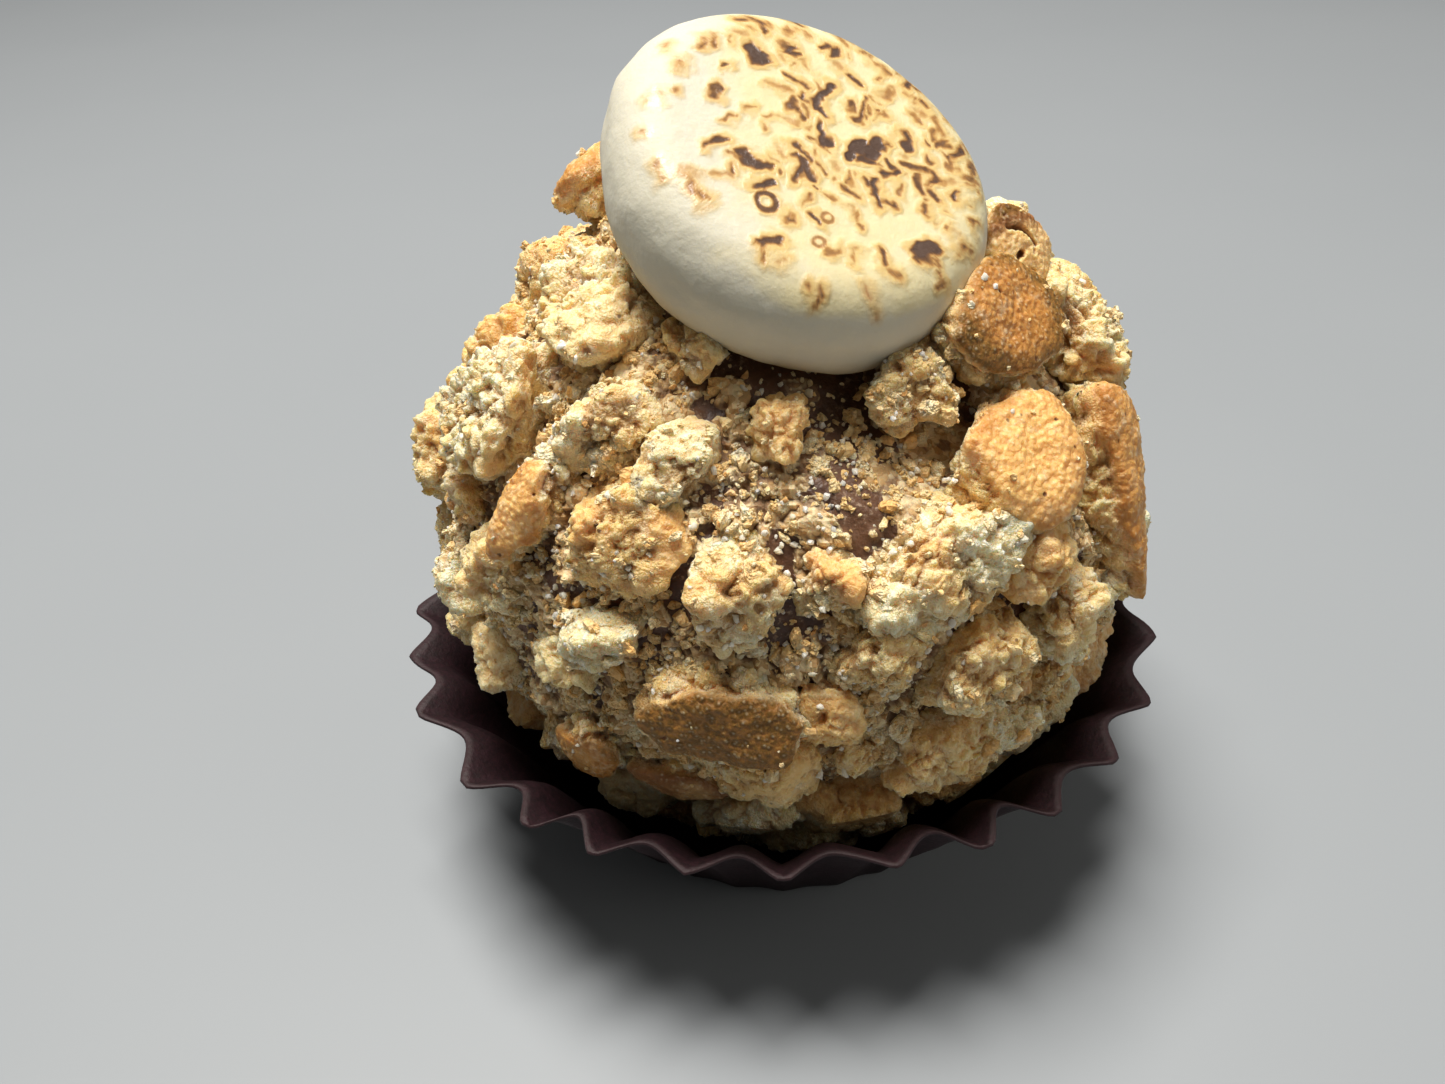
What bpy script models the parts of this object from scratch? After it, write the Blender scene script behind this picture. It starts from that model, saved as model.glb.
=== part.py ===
"""A brigadeiro: a soft chocolate ball rolled in broken biscuit, with a toasted
marshmallow on top, in a fluted paper case.

Metres, +Z up. The origin is the middle of the case's underside, and the best
side faces -Y. The sizes below are in millimetres and the angles in degrees. An
azimuth of 0 looks out along -Y and grows towards +X.
"""

import itertools
import math

import bmesh
import bpy
import numpy as np
from mathutils import Matrix

MM = 0.001
GAP = 0.3  # left between pieces that rest on each other

# The paper case
BASE_RADIUS = 11.0
RIM_RADIUS = 17.95  # the middle of the folds at the rim
WIDEST_RADIUS = 18.5  # no fold's tip stands out past this, apart from the corners
CORNER = 0.45  # how much wider the rim is between its front, back and sides
SLANT = 12.5  # the wall's length up its slope
RIM_LEAN = 62  # from upright, to which the wall flares at its rim
FLARE_FROM = 0.74  # the share of the slope where the flare begins
LESS_LEAN = 3  # how much steeper than a straight cone the wall is below that
PAPER = 0.2
RIM_FOLD = 0.72  # how far a fold stands out and in at the rim
BASE_FOLD = 0.1
FOLD_SHARP = 0.55  # 1 is a sharp tip and a round hollow, 0 is round in both
DEPTH_SHARE = 0.975  # of the case's depth to its width
# angles of the folds' tips about Z from +X, from the left side round the front to
# the right side; they are even behind
TIPS = [183, 195, 208, 224, 236, 246, 258, 270, 284, 296, 307, 319, 332, 347, 362]
FLUTES = 28
STEPS_PER_FLUTE = 4
WALL_SHARES = [0, 0.72, 0.87, 1]  # where the wall has rings of corners

# The ball
BALL_CENTRE = np.array([0.26, 0.8, 15.6])
CORE_RADIUS = 15.0
CORE_WAVE = 0.35
COAT_RADIUS = 17.0  # out to the crumbs' tops

# The marshmallow
FACE_CENTRE = np.array([1.95, -3.75, 34.1])  # the middle of its toasted face
FACE_AXIS = np.array([0.33, -0.43, 0.841])
MARSHMALLOW_RADIUS = 7.65
MARSHMALLOW_HEIGHT = 5.4
FACE_ROUND = 2.1  # of the edge of the toasted face
FOOT_ROUND = 2.6
BULGE = (150, 55, 0.55)  # the angle about the axis where it bulges, how far to each side, and by how much
MARSHMALLOW_SIDES = 36
MOUND_RADIUS = 6.3  # of the chocolate that carries it
MOUND_DEPTH = 3.4  # of the mound's middle below the marshmallow's foot
FRONT_DENT = (-5, 47, 22, 0.9)  # azimuth, elevation, radius and depth where its edge presses in

# The large pieces of biscuit, in the order in which they give way to each other.
# Each has its azimuth and elevation on the ball, half length, half width and half
# thickness, the turn of its length from level, how far it faces upwards and to the
# right of straight out, how far its middle lies outside the core, and its colour.
GOLDEN = (0.72, 0.42, 0.16)
PALE = (0.80, 0.63, 0.35)
TOASTED = (0.55, 0.27, 0.10)
CHOCOLATE = (0.10, 0.045, 0.02)
PIECES = {
    "biscuit_front": (-8.5, 2, 3.5, 2.4, 1.5, -4, 12, 0, 0.8, GOLDEN),
    "biscuit_upper_right": (43, 31, 3.4, 2.9, 1.5, 25, 14, -8, 0.6, GOLDEN),
    "biscuit_shoulder": (52, 50, 3.3, 2.8, 1.5, -20, -12, 0, 1.0, GOLDEN),
    "biscuit_toasted": (75, 54, 2.3, 2.0, 1.3, -25, -20, -28, 1.3, TOASTED),
    "biscuit_crag": (24, 21, 3.6, 2.2, 1.8, 14, 0, 0, 0.3, PALE),
    "biscuit_low_slab": (26, -10.5, 3.7, 1.8, 1.7, 2, 10, 0, 0.6, PALE),
    "biscuit_low_right": (30, 4, 2.5, 2.0, 1.7, 10, 0, 0, 0.5, PALE),
    "biscuit_right_block": (45, 6, 2.1, 1.5, 1.8, 80, 0, 0, 0.6, PALE),
    "biscuit_right_tall": (64, 17, 5.2, 1.7, 2.0, 80, 0, 0, 0.5, GOLDEN),
    "biscuit_high_right": (79, 39, 3.3, 2.4, 1.7, 62, 0, 0, 1.0, PALE),
    "biscuit_left": (-43, 26, 3.1, 1.4, 1.6, 70, 0, 0, 0.6, GOLDEN),
    "biscuit_upper_left": (-54, 55, 3.1, 2.5, 1.8, -15, 0, 0, 0.4, PALE),
    "biscuit_left_high": (-62, 34, 3.2, 2.6, 1.8, 50, 0, 0, 0.8, PALE),
    "biscuit_behind": (-112, 61, 2.6, 2.0, 1.5, 30, -16, 0, 1.9, GOLDEN),
    "biscuit_low_left": (-31, -12, 2.0, 1.8, 1.4, -40, 0, 0, 0.6, GOLDEN),
    "biscuit_low_front": (-17, -14.5, 2.9, 1.3, 1.4, -6, 0, 0, 0.2, TOASTED),
    "biscuit_far_left": (-86, 14, 3.2, 2.2, 1.7, 70, 0, 0, 0.8, PALE),
    "biscuit_back_1": (118, 6, 3.5, 2.4, 1.6, 20, 0, 0, 0.4, GOLDEN),
    "biscuit_back_2": (146, 40, 3.1, 2.5, 1.6, -30, 0, 0, 0.4, PALE),
    "biscuit_back_3": (178, 12, 3.7, 2.3, 1.6, 8, 0, 0, 0.4, GOLDEN),
    "biscuit_back_4": (-152, 34, 2.8, 2.4, 1.6, 60, 0, 0, 0.4, PALE),
    "biscuit_back_5": (-126, 6, 3.5, 2.1, 1.6, -12, 0, 0, 0.4, GOLDEN),
}
PIECE_SIDES = 7
PIECE_POINT = 1.36  # how far a corner may reach, in half sizes

# The broken biscuit that is fused to the ball: some crumbs by hand, as azimuth,
# elevation, half length, half width and turn, and then seeded ones, which shrink
# from the first size to the second
PLACED_CRUMBS = [
    (15, 11, 1.9, 1.6, 20), (-2, -9, 2.2, 1.4, 0), (-36, 2, 1.8, 1.6, 0), (-66, 16, 1.9, 1.5, 60),
    (-25, 27, 2.4, 2.2, 30), (-7, 21, 2.2, 1.7, 75), (-54, -8, 1.9, 1.6, 10), (6, 0, 1.7, 1.3, 90),
    (41, 17, 2.0, 1.4, 0), (-27, 11, 2.0, 1.5, 15), (-50, 12, 2.1, 1.6, 80), (30, 48, 2.0, 1.4, 60),
]
SEEDED_CRUMBS = 118
CRUMB_SIZES = (2.9, 1.25)
CRUMB_TRIES = 80  # places looked at for each crumb, of which the freest is taken
CRUMB_REACH = 0.86  # the share of its half length in which a crumb wants no other
CRUMB_FACETS = 8
CRUMB_POINT = 1.25
# azimuth, elevation and radius of patches where only small crumbs cover the chocolate
BARE_PATCHES = [(-13, 22, 4), (9, 31, 7), (2, 56, 12), (150, 22, 8), (-100, 38, 8)]
BARE_SIZE = 1.5


def unit(vectors):
    return vectors / np.linalg.norm(vectors, axis=-1, keepdims=True)


def outward(azimuth, elevation):
    """The direction from the ball's middle at that azimuth and elevation."""
    a, e = math.radians(azimuth), math.radians(elevation)
    return np.array([math.sin(a) * math.cos(e), -math.cos(a) * math.cos(e), math.sin(e)])


def frame_on(direction, turn, lean, sway=0):
    """Columns: along the length, up the ball and outwards, after the turn of the length,
    the sway to the right and the lean upwards."""
    east = unit(np.cross([0.0, 0.0, 1.0], direction))
    flat = np.stack([east, np.cross(direction, east), direction], axis=1)
    leant = Matrix.Rotation(math.radians(-lean), 3, "X") @ Matrix.Rotation(math.radians(sway), 3, "Y")
    return flat @ np.array(leant @ Matrix.Rotation(math.radians(turn), 3, "Z"))


def eased(low, high, x):
    """0 at low, 1 at high, and 3t^2 - 2t^3 between them."""
    t = np.clip((x - low) / (high - low), 0, 1)
    return t * t * (3 - 2 * t)


def add_object(name, mesh, colour, roughness=0.8):
    """A new object from a bmesh in millimetres, with a plain material of its own."""
    bmesh.ops.recalc_face_normals(mesh, faces=mesh.faces)
    bmesh.ops.scale(mesh, vec=(MM, MM, MM), verts=mesh.verts)
    data = bpy.data.meshes.new(name)
    mesh.to_mesh(data)
    mesh.free()
    material = bpy.data.materials.new(name)
    material.use_nodes = True
    shader = material.node_tree.nodes["Principled BSDF"]
    shader.inputs["Base Color"].default_value = (*colour, 1)
    shader.inputs["Roughness"].default_value = roughness
    data.materials.append(material)
    made = bpy.data.objects.new(name, data)
    bpy.context.scene.collection.objects.link(made)
    return made


def mesh_of(points, faces):
    mesh = bmesh.new()
    verts = [mesh.verts.new(point) for point in points]
    for face in faces:
        mesh.faces.new([verts[i] for i in face])
    return mesh


def boolean(target, operand, operation):
    """Joins, cuts or trims target by an object or a whole collection, and applies it."""
    modifier = target.modifiers.new(operation, "BOOLEAN")
    modifier.operation = operation
    modifier.solver = "MANIFOLD"
    if isinstance(operand, bpy.types.Collection):
        modifier.operand_type = "COLLECTION"
        modifier.collection = operand
    else:
        modifier.object = operand
    bpy.context.view_layer.update()
    result = bpy.data.meshes.new_from_object(target.evaluated_get(bpy.context.evaluated_depsgraph_get()))
    target.modifiers.clear()
    target.data = result


def keep_largest(target):
    """Drops the loose scraps that cutting leaves."""
    mesh = bmesh.new()
    mesh.from_mesh(target.data)
    left, islands = set(mesh.verts), []
    while left:
        island, edge = [], [left.pop()]
        while edge:
            vert = edge.pop()
            island.append(vert)
            near = {link.other_vert(vert) for link in vert.link_edges} & left
            left -= near
            edge.extend(near)
        islands.append(island)
    islands.sort(key=len)
    bmesh.ops.delete(mesh, geom=list(itertools.chain(*islands[:-1])), context="VERTS")
    mesh.to_mesh(target.data)
    mesh.free()


def revolve(profile, sides):
    """A closed shape turned about Z. The profile runs as (radius, height) from the
    axis at the top to the axis at the bottom."""
    angles = np.arange(sides) * 2 * math.pi / sides
    ring = np.stack([np.cos(angles), np.sin(angles)], axis=1)
    points = [[0, 0, profile[0][1]]]
    for radius, height in profile[1:-1]:
        points += [[radius * x, radius * y, height] for x, y in ring]
    points.append([0, 0, profile[-1][1]])
    last = len(points) - 1
    faces = []
    for i in range(sides):
        j = (i + 1) % sides
        faces += [[0, 1 + i, 1 + j], [last, last - sides + j, last - sides + i]]
        for top in range(1, last - sides, sides):
            low = top + sides
            faces.append([top + i, low + i, low + j, top + j])
    return np.array(points, float), faces


def wall_course(shares):
    """Radius, height and lean of the middle of the wall at shares of its slope: it leans
    evenly, and then flares. Its radius and height add up the lean's sine and cosine."""
    steps = np.linspace(0, 1, 401)
    run = RIM_RADIUS - BASE_RADIUS
    straight = math.asin(run / SLANT) - math.radians(LESS_LEAN)
    lean = straight + (math.radians(RIM_LEAN) - straight) * eased(FLARE_FROM, 1, steps)
    out, up = np.cumsum(np.sin(lean)) - math.sin(straight), np.cumsum(np.cos(lean)) - math.cos(straight)
    radius = BASE_RADIUS + run * out / out[-1]
    height = math.sqrt(SLANT**2 - run**2) * up / up[-1]
    return [np.interp(shares, steps, values) for values in (radius, height, lean)]


def fold_depth(share):
    return BASE_FOLD + (RIM_FOLD - BASE_FOLD) * share**1.5


def fold_ring(share, inset):
    """Points around the fluted wall, at a share of its slope, moved in by inset."""
    count = FLUTES * STEPS_PER_FLUTE
    behind = np.linspace(TIPS[-1], TIPS[0] + 360, FLUTES + 2 - len(TIPS))[1:]
    tips = np.concatenate([TIPS, behind])
    angles = np.radians(np.interp(np.arange(count), np.arange(len(tips)) * STEPS_PER_FLUTE, tips))
    phase = np.arange(count) * 2 * math.pi / STEPS_PER_FLUTE
    wave = FOLD_SHARP * (1 - 2 * np.abs(np.sin(phase / 2))) + (1 - FOLD_SHARP) * np.cos(phase)
    radius, height, lean = wall_course(share)
    radius = np.minimum(radius + fold_depth(share) * wave, WIDEST_RADIUS)
    radius = radius + CORNER * share * np.sin(2 * angles) ** 2 - inset * math.cos(lean)
    height = np.full(count, max(height + inset * math.sin(lean), inset))
    return np.stack([radius * np.cos(angles), DEPTH_SHARE * radius * np.sin(angles), height], axis=1)


def add_case():
    """A flat floor and a fluted wall, in paper of one thickness."""
    rings = [fold_ring(share, 0) for share in WALL_SHARES]
    rings += [fold_ring(share, PAPER) for share in reversed(WALL_SHARES)]
    points = np.concatenate([[[0, 0, 0]], *rings, [[0, 0, PAPER]]])
    last, count = len(points) - 1, FLUTES * STEPS_PER_FLUTE
    faces = []
    for i in range(count):
        j = (i + 1) % count
        faces += [[0, 1 + j, 1 + i], [last, last - count + i, last - count + j]]
        for low in range(1, last - count, count):
            top = low + count
            faces.append([low + i, low + j, top + j, top + i])
    return add_object("paper_case", mesh_of(points, faces), (0.045, 0.018, 0.024), 0.75)


def add_room():
    """The space that the ball and its pieces may fill: inside the folds, and free above the rim."""
    clear = PAPER + GAP
    radius, height, _ = wall_course(WALL_SHARES)
    radius = radius - fold_depth(np.array(WALL_SHARES)) - clear
    profile = [(0, 60), (40, 60), (40, height[-1] + 3), (radius[-1], height[-1] + clear)]
    profile += [(r, z + clear) for r, z in zip(radius[-2::-1], height[-2::-1])] + [(0, clear)]
    points, faces = revolve(profile, 48)
    return add_object("room", mesh_of(points * [1, DEPTH_SHARE, 1], faces), PALE)


def add_marshmallow(name, grow):
    """A short cylinder with rounded edges, not quite round, on its own leaning axis."""
    radius, foot = MARSHMALLOW_RADIUS + grow, -MARSHMALLOW_HEIGHT - grow
    profile = [(0, grow), (radius * 0.5, grow)]
    for turn in (90, 65, 45, 25, 0):
        a = math.radians(turn)
        profile.append((radius - FACE_ROUND * (1 - math.cos(a)), grow - FACE_ROUND * (1 - math.sin(a))))
    for turn in (0, -35, -60, -90):
        a = math.radians(turn)
        profile.append((radius - FOOT_ROUND * (1 - math.cos(a)), foot + FOOT_ROUND * (1 + math.sin(a))))
    profile += [(radius * 0.5, foot), (0, foot)]
    points, faces = revolve(profile, MARSHMALLOW_SIDES)
    around = np.arctan2(points[:, 1], points[:, 0])
    towards, within, bulge = BULGE
    apart = np.abs((np.degrees(around) - towards + 180) % 360 - 180)
    outline = 1 + 0.012 * np.cos(2 * around + 0.6) + 0.008 * np.cos(3 * around)
    points[:, :2] *= (outline + bulge / MARSHMALLOW_RADIUS * eased(within, 0, apart))[:, None]
    axis = unit(FACE_AXIS)
    across = unit(np.cross([0.0, 1.0, 0.0], axis))
    frame = np.stack([across, np.cross(axis, across), axis], axis=1)
    return add_object(name, mesh_of(FACE_CENTRE + points @ frame.T, faces), (0.86, 0.80, 0.64), 0.6)


def spread(count, rng):
    """Directions spread evenly over a sphere by the golden angle, turned and shaken at random."""
    steps = np.arange(count) + 0.5
    height = 1 - 2 * steps / count
    angle = steps * math.pi * (3 - math.sqrt(5)) + rng.uniform(0, 2 * math.pi)
    flat = np.sqrt(1 - height**2)
    even = np.stack([flat * np.cos(angle), flat * np.sin(angle), height], axis=1)
    return unit(even + rng.normal(scale=0.22, size=(count, 3)))


def crumb_planes(half_sizes, rng):
    """Outward normals and offsets of the planes that bound a crumb."""
    return stretched(spread(CRUMB_FACETS, rng), rng.uniform(0.75, 1, CRUMB_FACETS), half_sizes)


def piece_planes(half_sizes, rng):
    """Planes of a broken slab: a crust on the outer side, a flat inner side and broken sides."""
    angle = (np.arange(PIECE_SIDES) + rng.uniform(-0.25, 0.25, PIECE_SIDES)) * 2 * math.pi / PIECE_SIDES
    slope = rng.uniform(-0.35, 0.45, PIECE_SIDES)
    sides = np.stack([np.cos(angle), np.sin(angle), slope], axis=1)
    crust = [[rng.uniform(-0.12, 0.12), rng.uniform(-0.12, 0.12), 1], [0.35, 0.2, 0.9], [-0.3, -0.35, 0.9]]
    normals = unit(np.concatenate([sides, crust, [[0, 0, -1]]]))
    offsets = np.concatenate([rng.uniform(0.8, 1, PIECE_SIDES), [0.9, 0.98, 0.98, 0.95]])
    return stretched(normals, offsets, half_sizes)


def stretched(normals, offsets, half_sizes):
    """The planes of a unit solid after stretching it to the half sizes."""
    tilted = normals / half_sizes
    length = np.linalg.norm(tilted, axis=1)
    return tilted / length[:, None], offsets / length


def solid(normals, offsets, longest):
    """Corners of the solid inside all the planes, from every three that meet there. A
    corner that reaches past an ellipsoid of the longest half sizes is pulled back to it."""
    threes = np.array(list(itertools.combinations(range(len(normals)), 3)))
    threes = threes[np.abs(np.linalg.det(normals[threes])) > 0.01]
    corners = np.linalg.solve(normals[threes], offsets[threes][..., None])[..., 0]
    corners = corners[(corners @ normals.T <= offsets + 1e-6).all(axis=1)]
    reach = np.linalg.norm(corners / longest, axis=1)
    return np.unique((corners / np.maximum(reach, 1)[:, None]).round(2), axis=0)


def add_hull(name, corners, colour):
    mesh = bmesh.new()
    for corner in corners:
        mesh.verts.new(corner)
    bmesh.ops.convex_hull(mesh, input=mesh.verts)
    return add_object(name, mesh, colour)


def add_piece(name, piece, seed, grow=0.0):
    azimuth, elevation, length, width, thickness, turn, lean, sway, lift, colour = piece
    direction = outward(azimuth, elevation)
    half_sizes = np.array([length, width, thickness])
    normals, offsets = piece_planes(half_sizes, np.random.default_rng(seed))
    corners = solid(normals, offsets + grow, PIECE_POINT * half_sizes + grow)
    middle = BALL_CENTRE + direction * (CORE_RADIUS + lift)
    return add_hull(name, middle + corners @ frame_on(direction, turn, lean, sway).T, colour)


def crumb_places():
    """Direction, half length, half width and turn of each fused crumb. The seeded ones go,
    largest first, where they have most room clear of all before them."""
    rng = np.random.default_rng(21)
    degrees = 180 / math.pi / COAT_RADIUS
    taken = [(outward(*piece[:2]), math.sqrt(piece[2] * piece[3]) * degrees) for piece in PIECES.values()]
    taken.append((unit(FACE_AXIS), (MARSHMALLOW_RADIUS - 1.5) * degrees))
    places = [(outward(azimuth, elevation), *rest) for azimuth, elevation, *rest in PLACED_CRUMBS]
    taken += [(place[0], CRUMB_REACH * place[1] * degrees) for place in places]
    bare = [(outward(azimuth, elevation), radius) for azimuth, elevation, radius in BARE_PATCHES]
    for size in np.linspace(*CRUMB_SIZES, SEEDED_CRUMBS):
        blocks = taken + bare if size > BARE_SIZE else taken
        tries = unit(rng.normal(size=(CRUMB_TRIES, 3)))
        apart = np.degrees(np.arccos(np.clip(tries @ np.array([block[0] for block in blocks]).T, -1, 1)))
        room = (apart - [block[1] for block in blocks]).min(axis=1)
        best = tries[room.argmax()]
        taken.append((best, CRUMB_REACH * size * degrees))
        places.append((best, size, size * rng.uniform(0.65, 0.95), rng.uniform(0, 180)))
    return places


def add_crumbs():
    """The fused crumbs as separate objects in a collection of their own."""
    crumbs = bpy.data.collections.new("crumbs")
    bpy.context.scene.collection.children.link(crumbs)
    for number, (direction, length, width, turn) in enumerate(crumb_places()):
        rng = np.random.default_rng(100 + number)
        thickness = min(rng.uniform(0.62, 0.8) * length, 1.7)
        half_sizes = np.array([length, width, thickness])
        normals, offsets = crumb_planes(half_sizes, rng)
        corners = solid(normals, offsets, CRUMB_POINT * half_sizes)
        corners = corners @ frame_on(direction, turn, rng.uniform(-20, 20)).T
        depth = CORE_RADIUS + thickness * rng.uniform(0.05, 0.3)
        crumb = add_hull(f"crumb_{number}", BALL_CENTRE + direction * depth + corners, PALE)
        bpy.context.scene.collection.objects.unlink(crumb)
        crumbs.objects.link(crumb)
    return crumbs


def add_core():
    """The chocolate ball, a little uneven from smooth waves along random axes."""
    mesh = bmesh.new()
    bmesh.ops.create_icosphere(mesh, subdivisions=3, radius=1)
    directions = unit(np.array([vert.co for vert in mesh.verts]))
    rng = np.random.default_rng(5)
    wave = np.zeros(len(directions))
    for number in range(6):
        pace = rng.uniform(1.5, 4.5)
        wave += np.sin(pace * directions @ unit(rng.normal(size=3)) + number)
    azimuth, elevation, reach, depth = FRONT_DENT
    apart = np.degrees(np.arccos(np.clip(directions @ outward(azimuth, elevation), -1, 1)))
    dent = depth * np.cos(np.minimum(apart / reach, 1) * math.pi / 2) ** 2
    radius = CORE_RADIUS + CORE_WAVE * wave / 3 - dent
    for vert, point in zip(mesh.verts, BALL_CENTRE + directions * radius[:, None]):
        vert.co = point
    return add_object("chocolate_ball", mesh, CHOCOLATE, 0.5)


def add_mound():
    """The chocolate under the marshmallow, which fills the gap that its tilt leaves."""
    mesh = bmesh.new()
    bmesh.ops.create_icosphere(mesh, subdivisions=2, radius=MOUND_RADIUS)
    middle = FACE_CENTRE - unit(FACE_AXIS) * (MARSHMALLOW_HEIGHT + MOUND_DEPTH)
    bmesh.ops.translate(mesh, vec=middle, verts=mesh.verts)
    return add_object("mound", mesh, CHOCOLATE, 0.5)


def remove_all(objects):
    for helper in list(objects):
        bpy.data.objects.remove(helper)


def build():
    remove_all(bpy.data.objects)
    add_case()
    room = add_room()
    marshmallow = add_marshmallow("marshmallow", 0)
    socket = add_marshmallow("marshmallow_socket", GAP)

    # a piece gives way to the marshmallow and to the pieces listed before it
    sockets = [socket]
    for seed, (name, piece) in enumerate(PIECES.items()):
        made = add_piece(name, piece, seed)
        for other in sockets:
            boolean(made, other, "DIFFERENCE")
        boolean(made, room, "INTERSECT")
        keep_largest(made)
        sockets.append(add_piece(name + "_socket", piece, seed, GAP))

    ball = add_core()
    mound = add_mound()
    boolean(ball, mound, "UNION")
    crumbs = add_crumbs()
    boolean(ball, crumbs, "UNION")
    remove_all(crumbs.objects)
    bpy.data.collections.remove(crumbs)
    for other in sockets:
        boolean(ball, other, "DIFFERENCE")
    boolean(ball, room, "INTERSECT")
    keep_largest(ball)
    remove_all([room, mound, *sockets])

    marshmallow.data.shade_smooth()


build()
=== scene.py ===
import itertools
import math

import bpy
import numpy as np
from mathutils import Matrix, Vector


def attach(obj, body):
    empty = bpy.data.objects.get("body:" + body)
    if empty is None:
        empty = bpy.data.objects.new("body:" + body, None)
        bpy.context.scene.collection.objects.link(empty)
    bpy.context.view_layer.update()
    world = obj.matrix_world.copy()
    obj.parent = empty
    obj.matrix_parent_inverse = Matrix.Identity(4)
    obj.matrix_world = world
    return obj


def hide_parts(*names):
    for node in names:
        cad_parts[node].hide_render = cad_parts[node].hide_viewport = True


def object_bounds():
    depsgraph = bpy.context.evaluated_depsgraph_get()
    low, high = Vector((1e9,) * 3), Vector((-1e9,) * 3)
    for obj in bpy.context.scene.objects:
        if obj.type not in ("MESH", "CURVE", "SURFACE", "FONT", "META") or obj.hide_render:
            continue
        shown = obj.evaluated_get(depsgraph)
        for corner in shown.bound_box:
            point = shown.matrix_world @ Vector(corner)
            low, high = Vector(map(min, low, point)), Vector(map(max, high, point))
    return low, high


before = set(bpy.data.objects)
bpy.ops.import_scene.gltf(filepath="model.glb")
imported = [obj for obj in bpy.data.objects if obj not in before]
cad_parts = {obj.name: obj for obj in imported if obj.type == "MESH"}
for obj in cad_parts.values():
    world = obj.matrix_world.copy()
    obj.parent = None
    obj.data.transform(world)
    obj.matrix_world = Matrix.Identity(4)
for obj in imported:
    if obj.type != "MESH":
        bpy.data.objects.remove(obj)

# A soft chocolate ball rolled in broken biscuit, with a toasted marshmallow on top, in a fluted paper case.
# Sizes are in millimetres here, and become metres in newPiece
mm = 0.001
cadBounds = [list(corner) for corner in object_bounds()]
print("frame loaded:", len(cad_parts), "nodes")

# its dent: azimuth, elevation and reach in degrees, and depth
ball = {"centre": (0.26, 0.8, 15.6), "core": 15.0, "coat": 17.0, "wave": 0.35, "dent": (-5, 47, 22, 0.9)}
marshmallow = {
    "centre": (1.95, -3.75, 34.1), "axis": (0.33, -0.43, 0.841),  # its toasted face's middle and direction
    "radius": 7.65, "height": 5.4, "faceRound": 2.1, "footRound": 2.6,
    "bulge": (150, 55, 0.55),  # the angle about the axis, how far to each side of it, and by how much
}
case = {
    "baseRadius": 11.0, "rimRadius": 17.95, "slant": 12.5, "flutes": 28, "rimFold": 0.72, "baseFold": 0.1,
    "widest": 18.5, "depthShare": 0.975,
}
ballCentre = np.array(ball["centre"])


def unit(vectors):
    return vectors / np.linalg.norm(vectors, axis=-1, keepdims=True)


def outward(azimuth, elevation):
    # from the ball's middle: azimuth 0 is towards the viewer, and it grows to the right
    a, e = math.radians(azimuth), math.radians(elevation)
    return np.array([math.sin(a) * math.cos(e), -math.cos(a) * math.cos(e), math.sin(e)])


def degreesApart(directions, others):
    return np.degrees(np.arccos(np.clip(directions @ others.T, -1, 1)))


def frameOn(direction, turn, lean, sway=0):
    # columns: along the length, up the ball and outwards; turned, swayed to the right and leaned up
    east = unit(np.cross([0.0, 0.0, 1.0], direction))
    flat = np.stack([east, np.cross(direction, east), direction], axis=1)
    turns = ((-lean, "X"), (sway, "Y"), (turn, "Z"))
    first, second, third = [Matrix.Rotation(math.radians(angle), 3, axis) for angle, axis in turns]
    return flat @ np.array(first @ second @ third)


def eased(low, high, x):
    # 0 at low, 1 at high, and 3t^2 - 2t^3 between them
    t = np.clip((x - low) / (high - low), 0, 1)
    return t * t * (3 - 2 * t)


hashing = {"mask": 0xFFFFFFFF, "axes": (374761393, 668265263, 1442695041), "seed": 974634777,
           "rounds": ((15, 739982445), (13, 695872825)), "last": 16}


def hashed(cell, seed):
    # a number from 0 to 1 for each whole-number cell, by mixing the bits of its three indices
    x, y, z = [cell[..., axis] * number for axis, number in enumerate(hashing["axes"])]
    h = (x + y + z + seed * hashing["seed"]) & hashing["mask"]
    for shift, number in hashing["rounds"]:
        h = ((h ^ (h >> shift)) * number) & hashing["mask"]
    return ((h ^ (h >> hashing["last"])) & 0xFFFFFF) / 0x1000000


def waves(points, size, seed):
    # value noise from -1 to 1: the hashed numbers of the eight corners round a point, eased between them
    place = points / size
    cell = np.floor(place).astype(np.int64)
    t = place - cell
    t = t * t * (3 - 2 * t)
    total = 0
    for corner in itertools.product((0, 1), repeat=3):
        share = np.prod(np.where(corner, t, 1 - t), axis=-1)
        total = total + share * hashed(cell + np.array(corner), seed)
    return total * 2 - 1


def fractal(points, size, octaves, seed):
    # waves at halving sizes and strengths
    return sum(0.5 ** (k + 1) * waves(points, size / 2**k, seed + k) for k in range(octaves))


def cells(points, size, seed):
    # distance to the nearest of spots scattered one to a cell, in cell sizes, and that spot's own number
    place = points / size
    cell = np.floor(place).astype(np.int64)
    nearest, own = np.full(len(points), 9.0), np.zeros(len(points))
    for step in itertools.product((-1, 0, 1), repeat=3):
        other = cell + np.array(step)
        spot = np.stack([hashed(other, seed + k) for k in range(3)], axis=1)
        apart = np.linalg.norm(other + 0.15 + 0.7 * spot - place, axis=1)
        closer = apart < nearest
        nearest = np.where(closer, apart, nearest)
        own = np.where(closer, hashed(other, seed + 7), own)
    return nearest, own


spheres = {}


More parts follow.
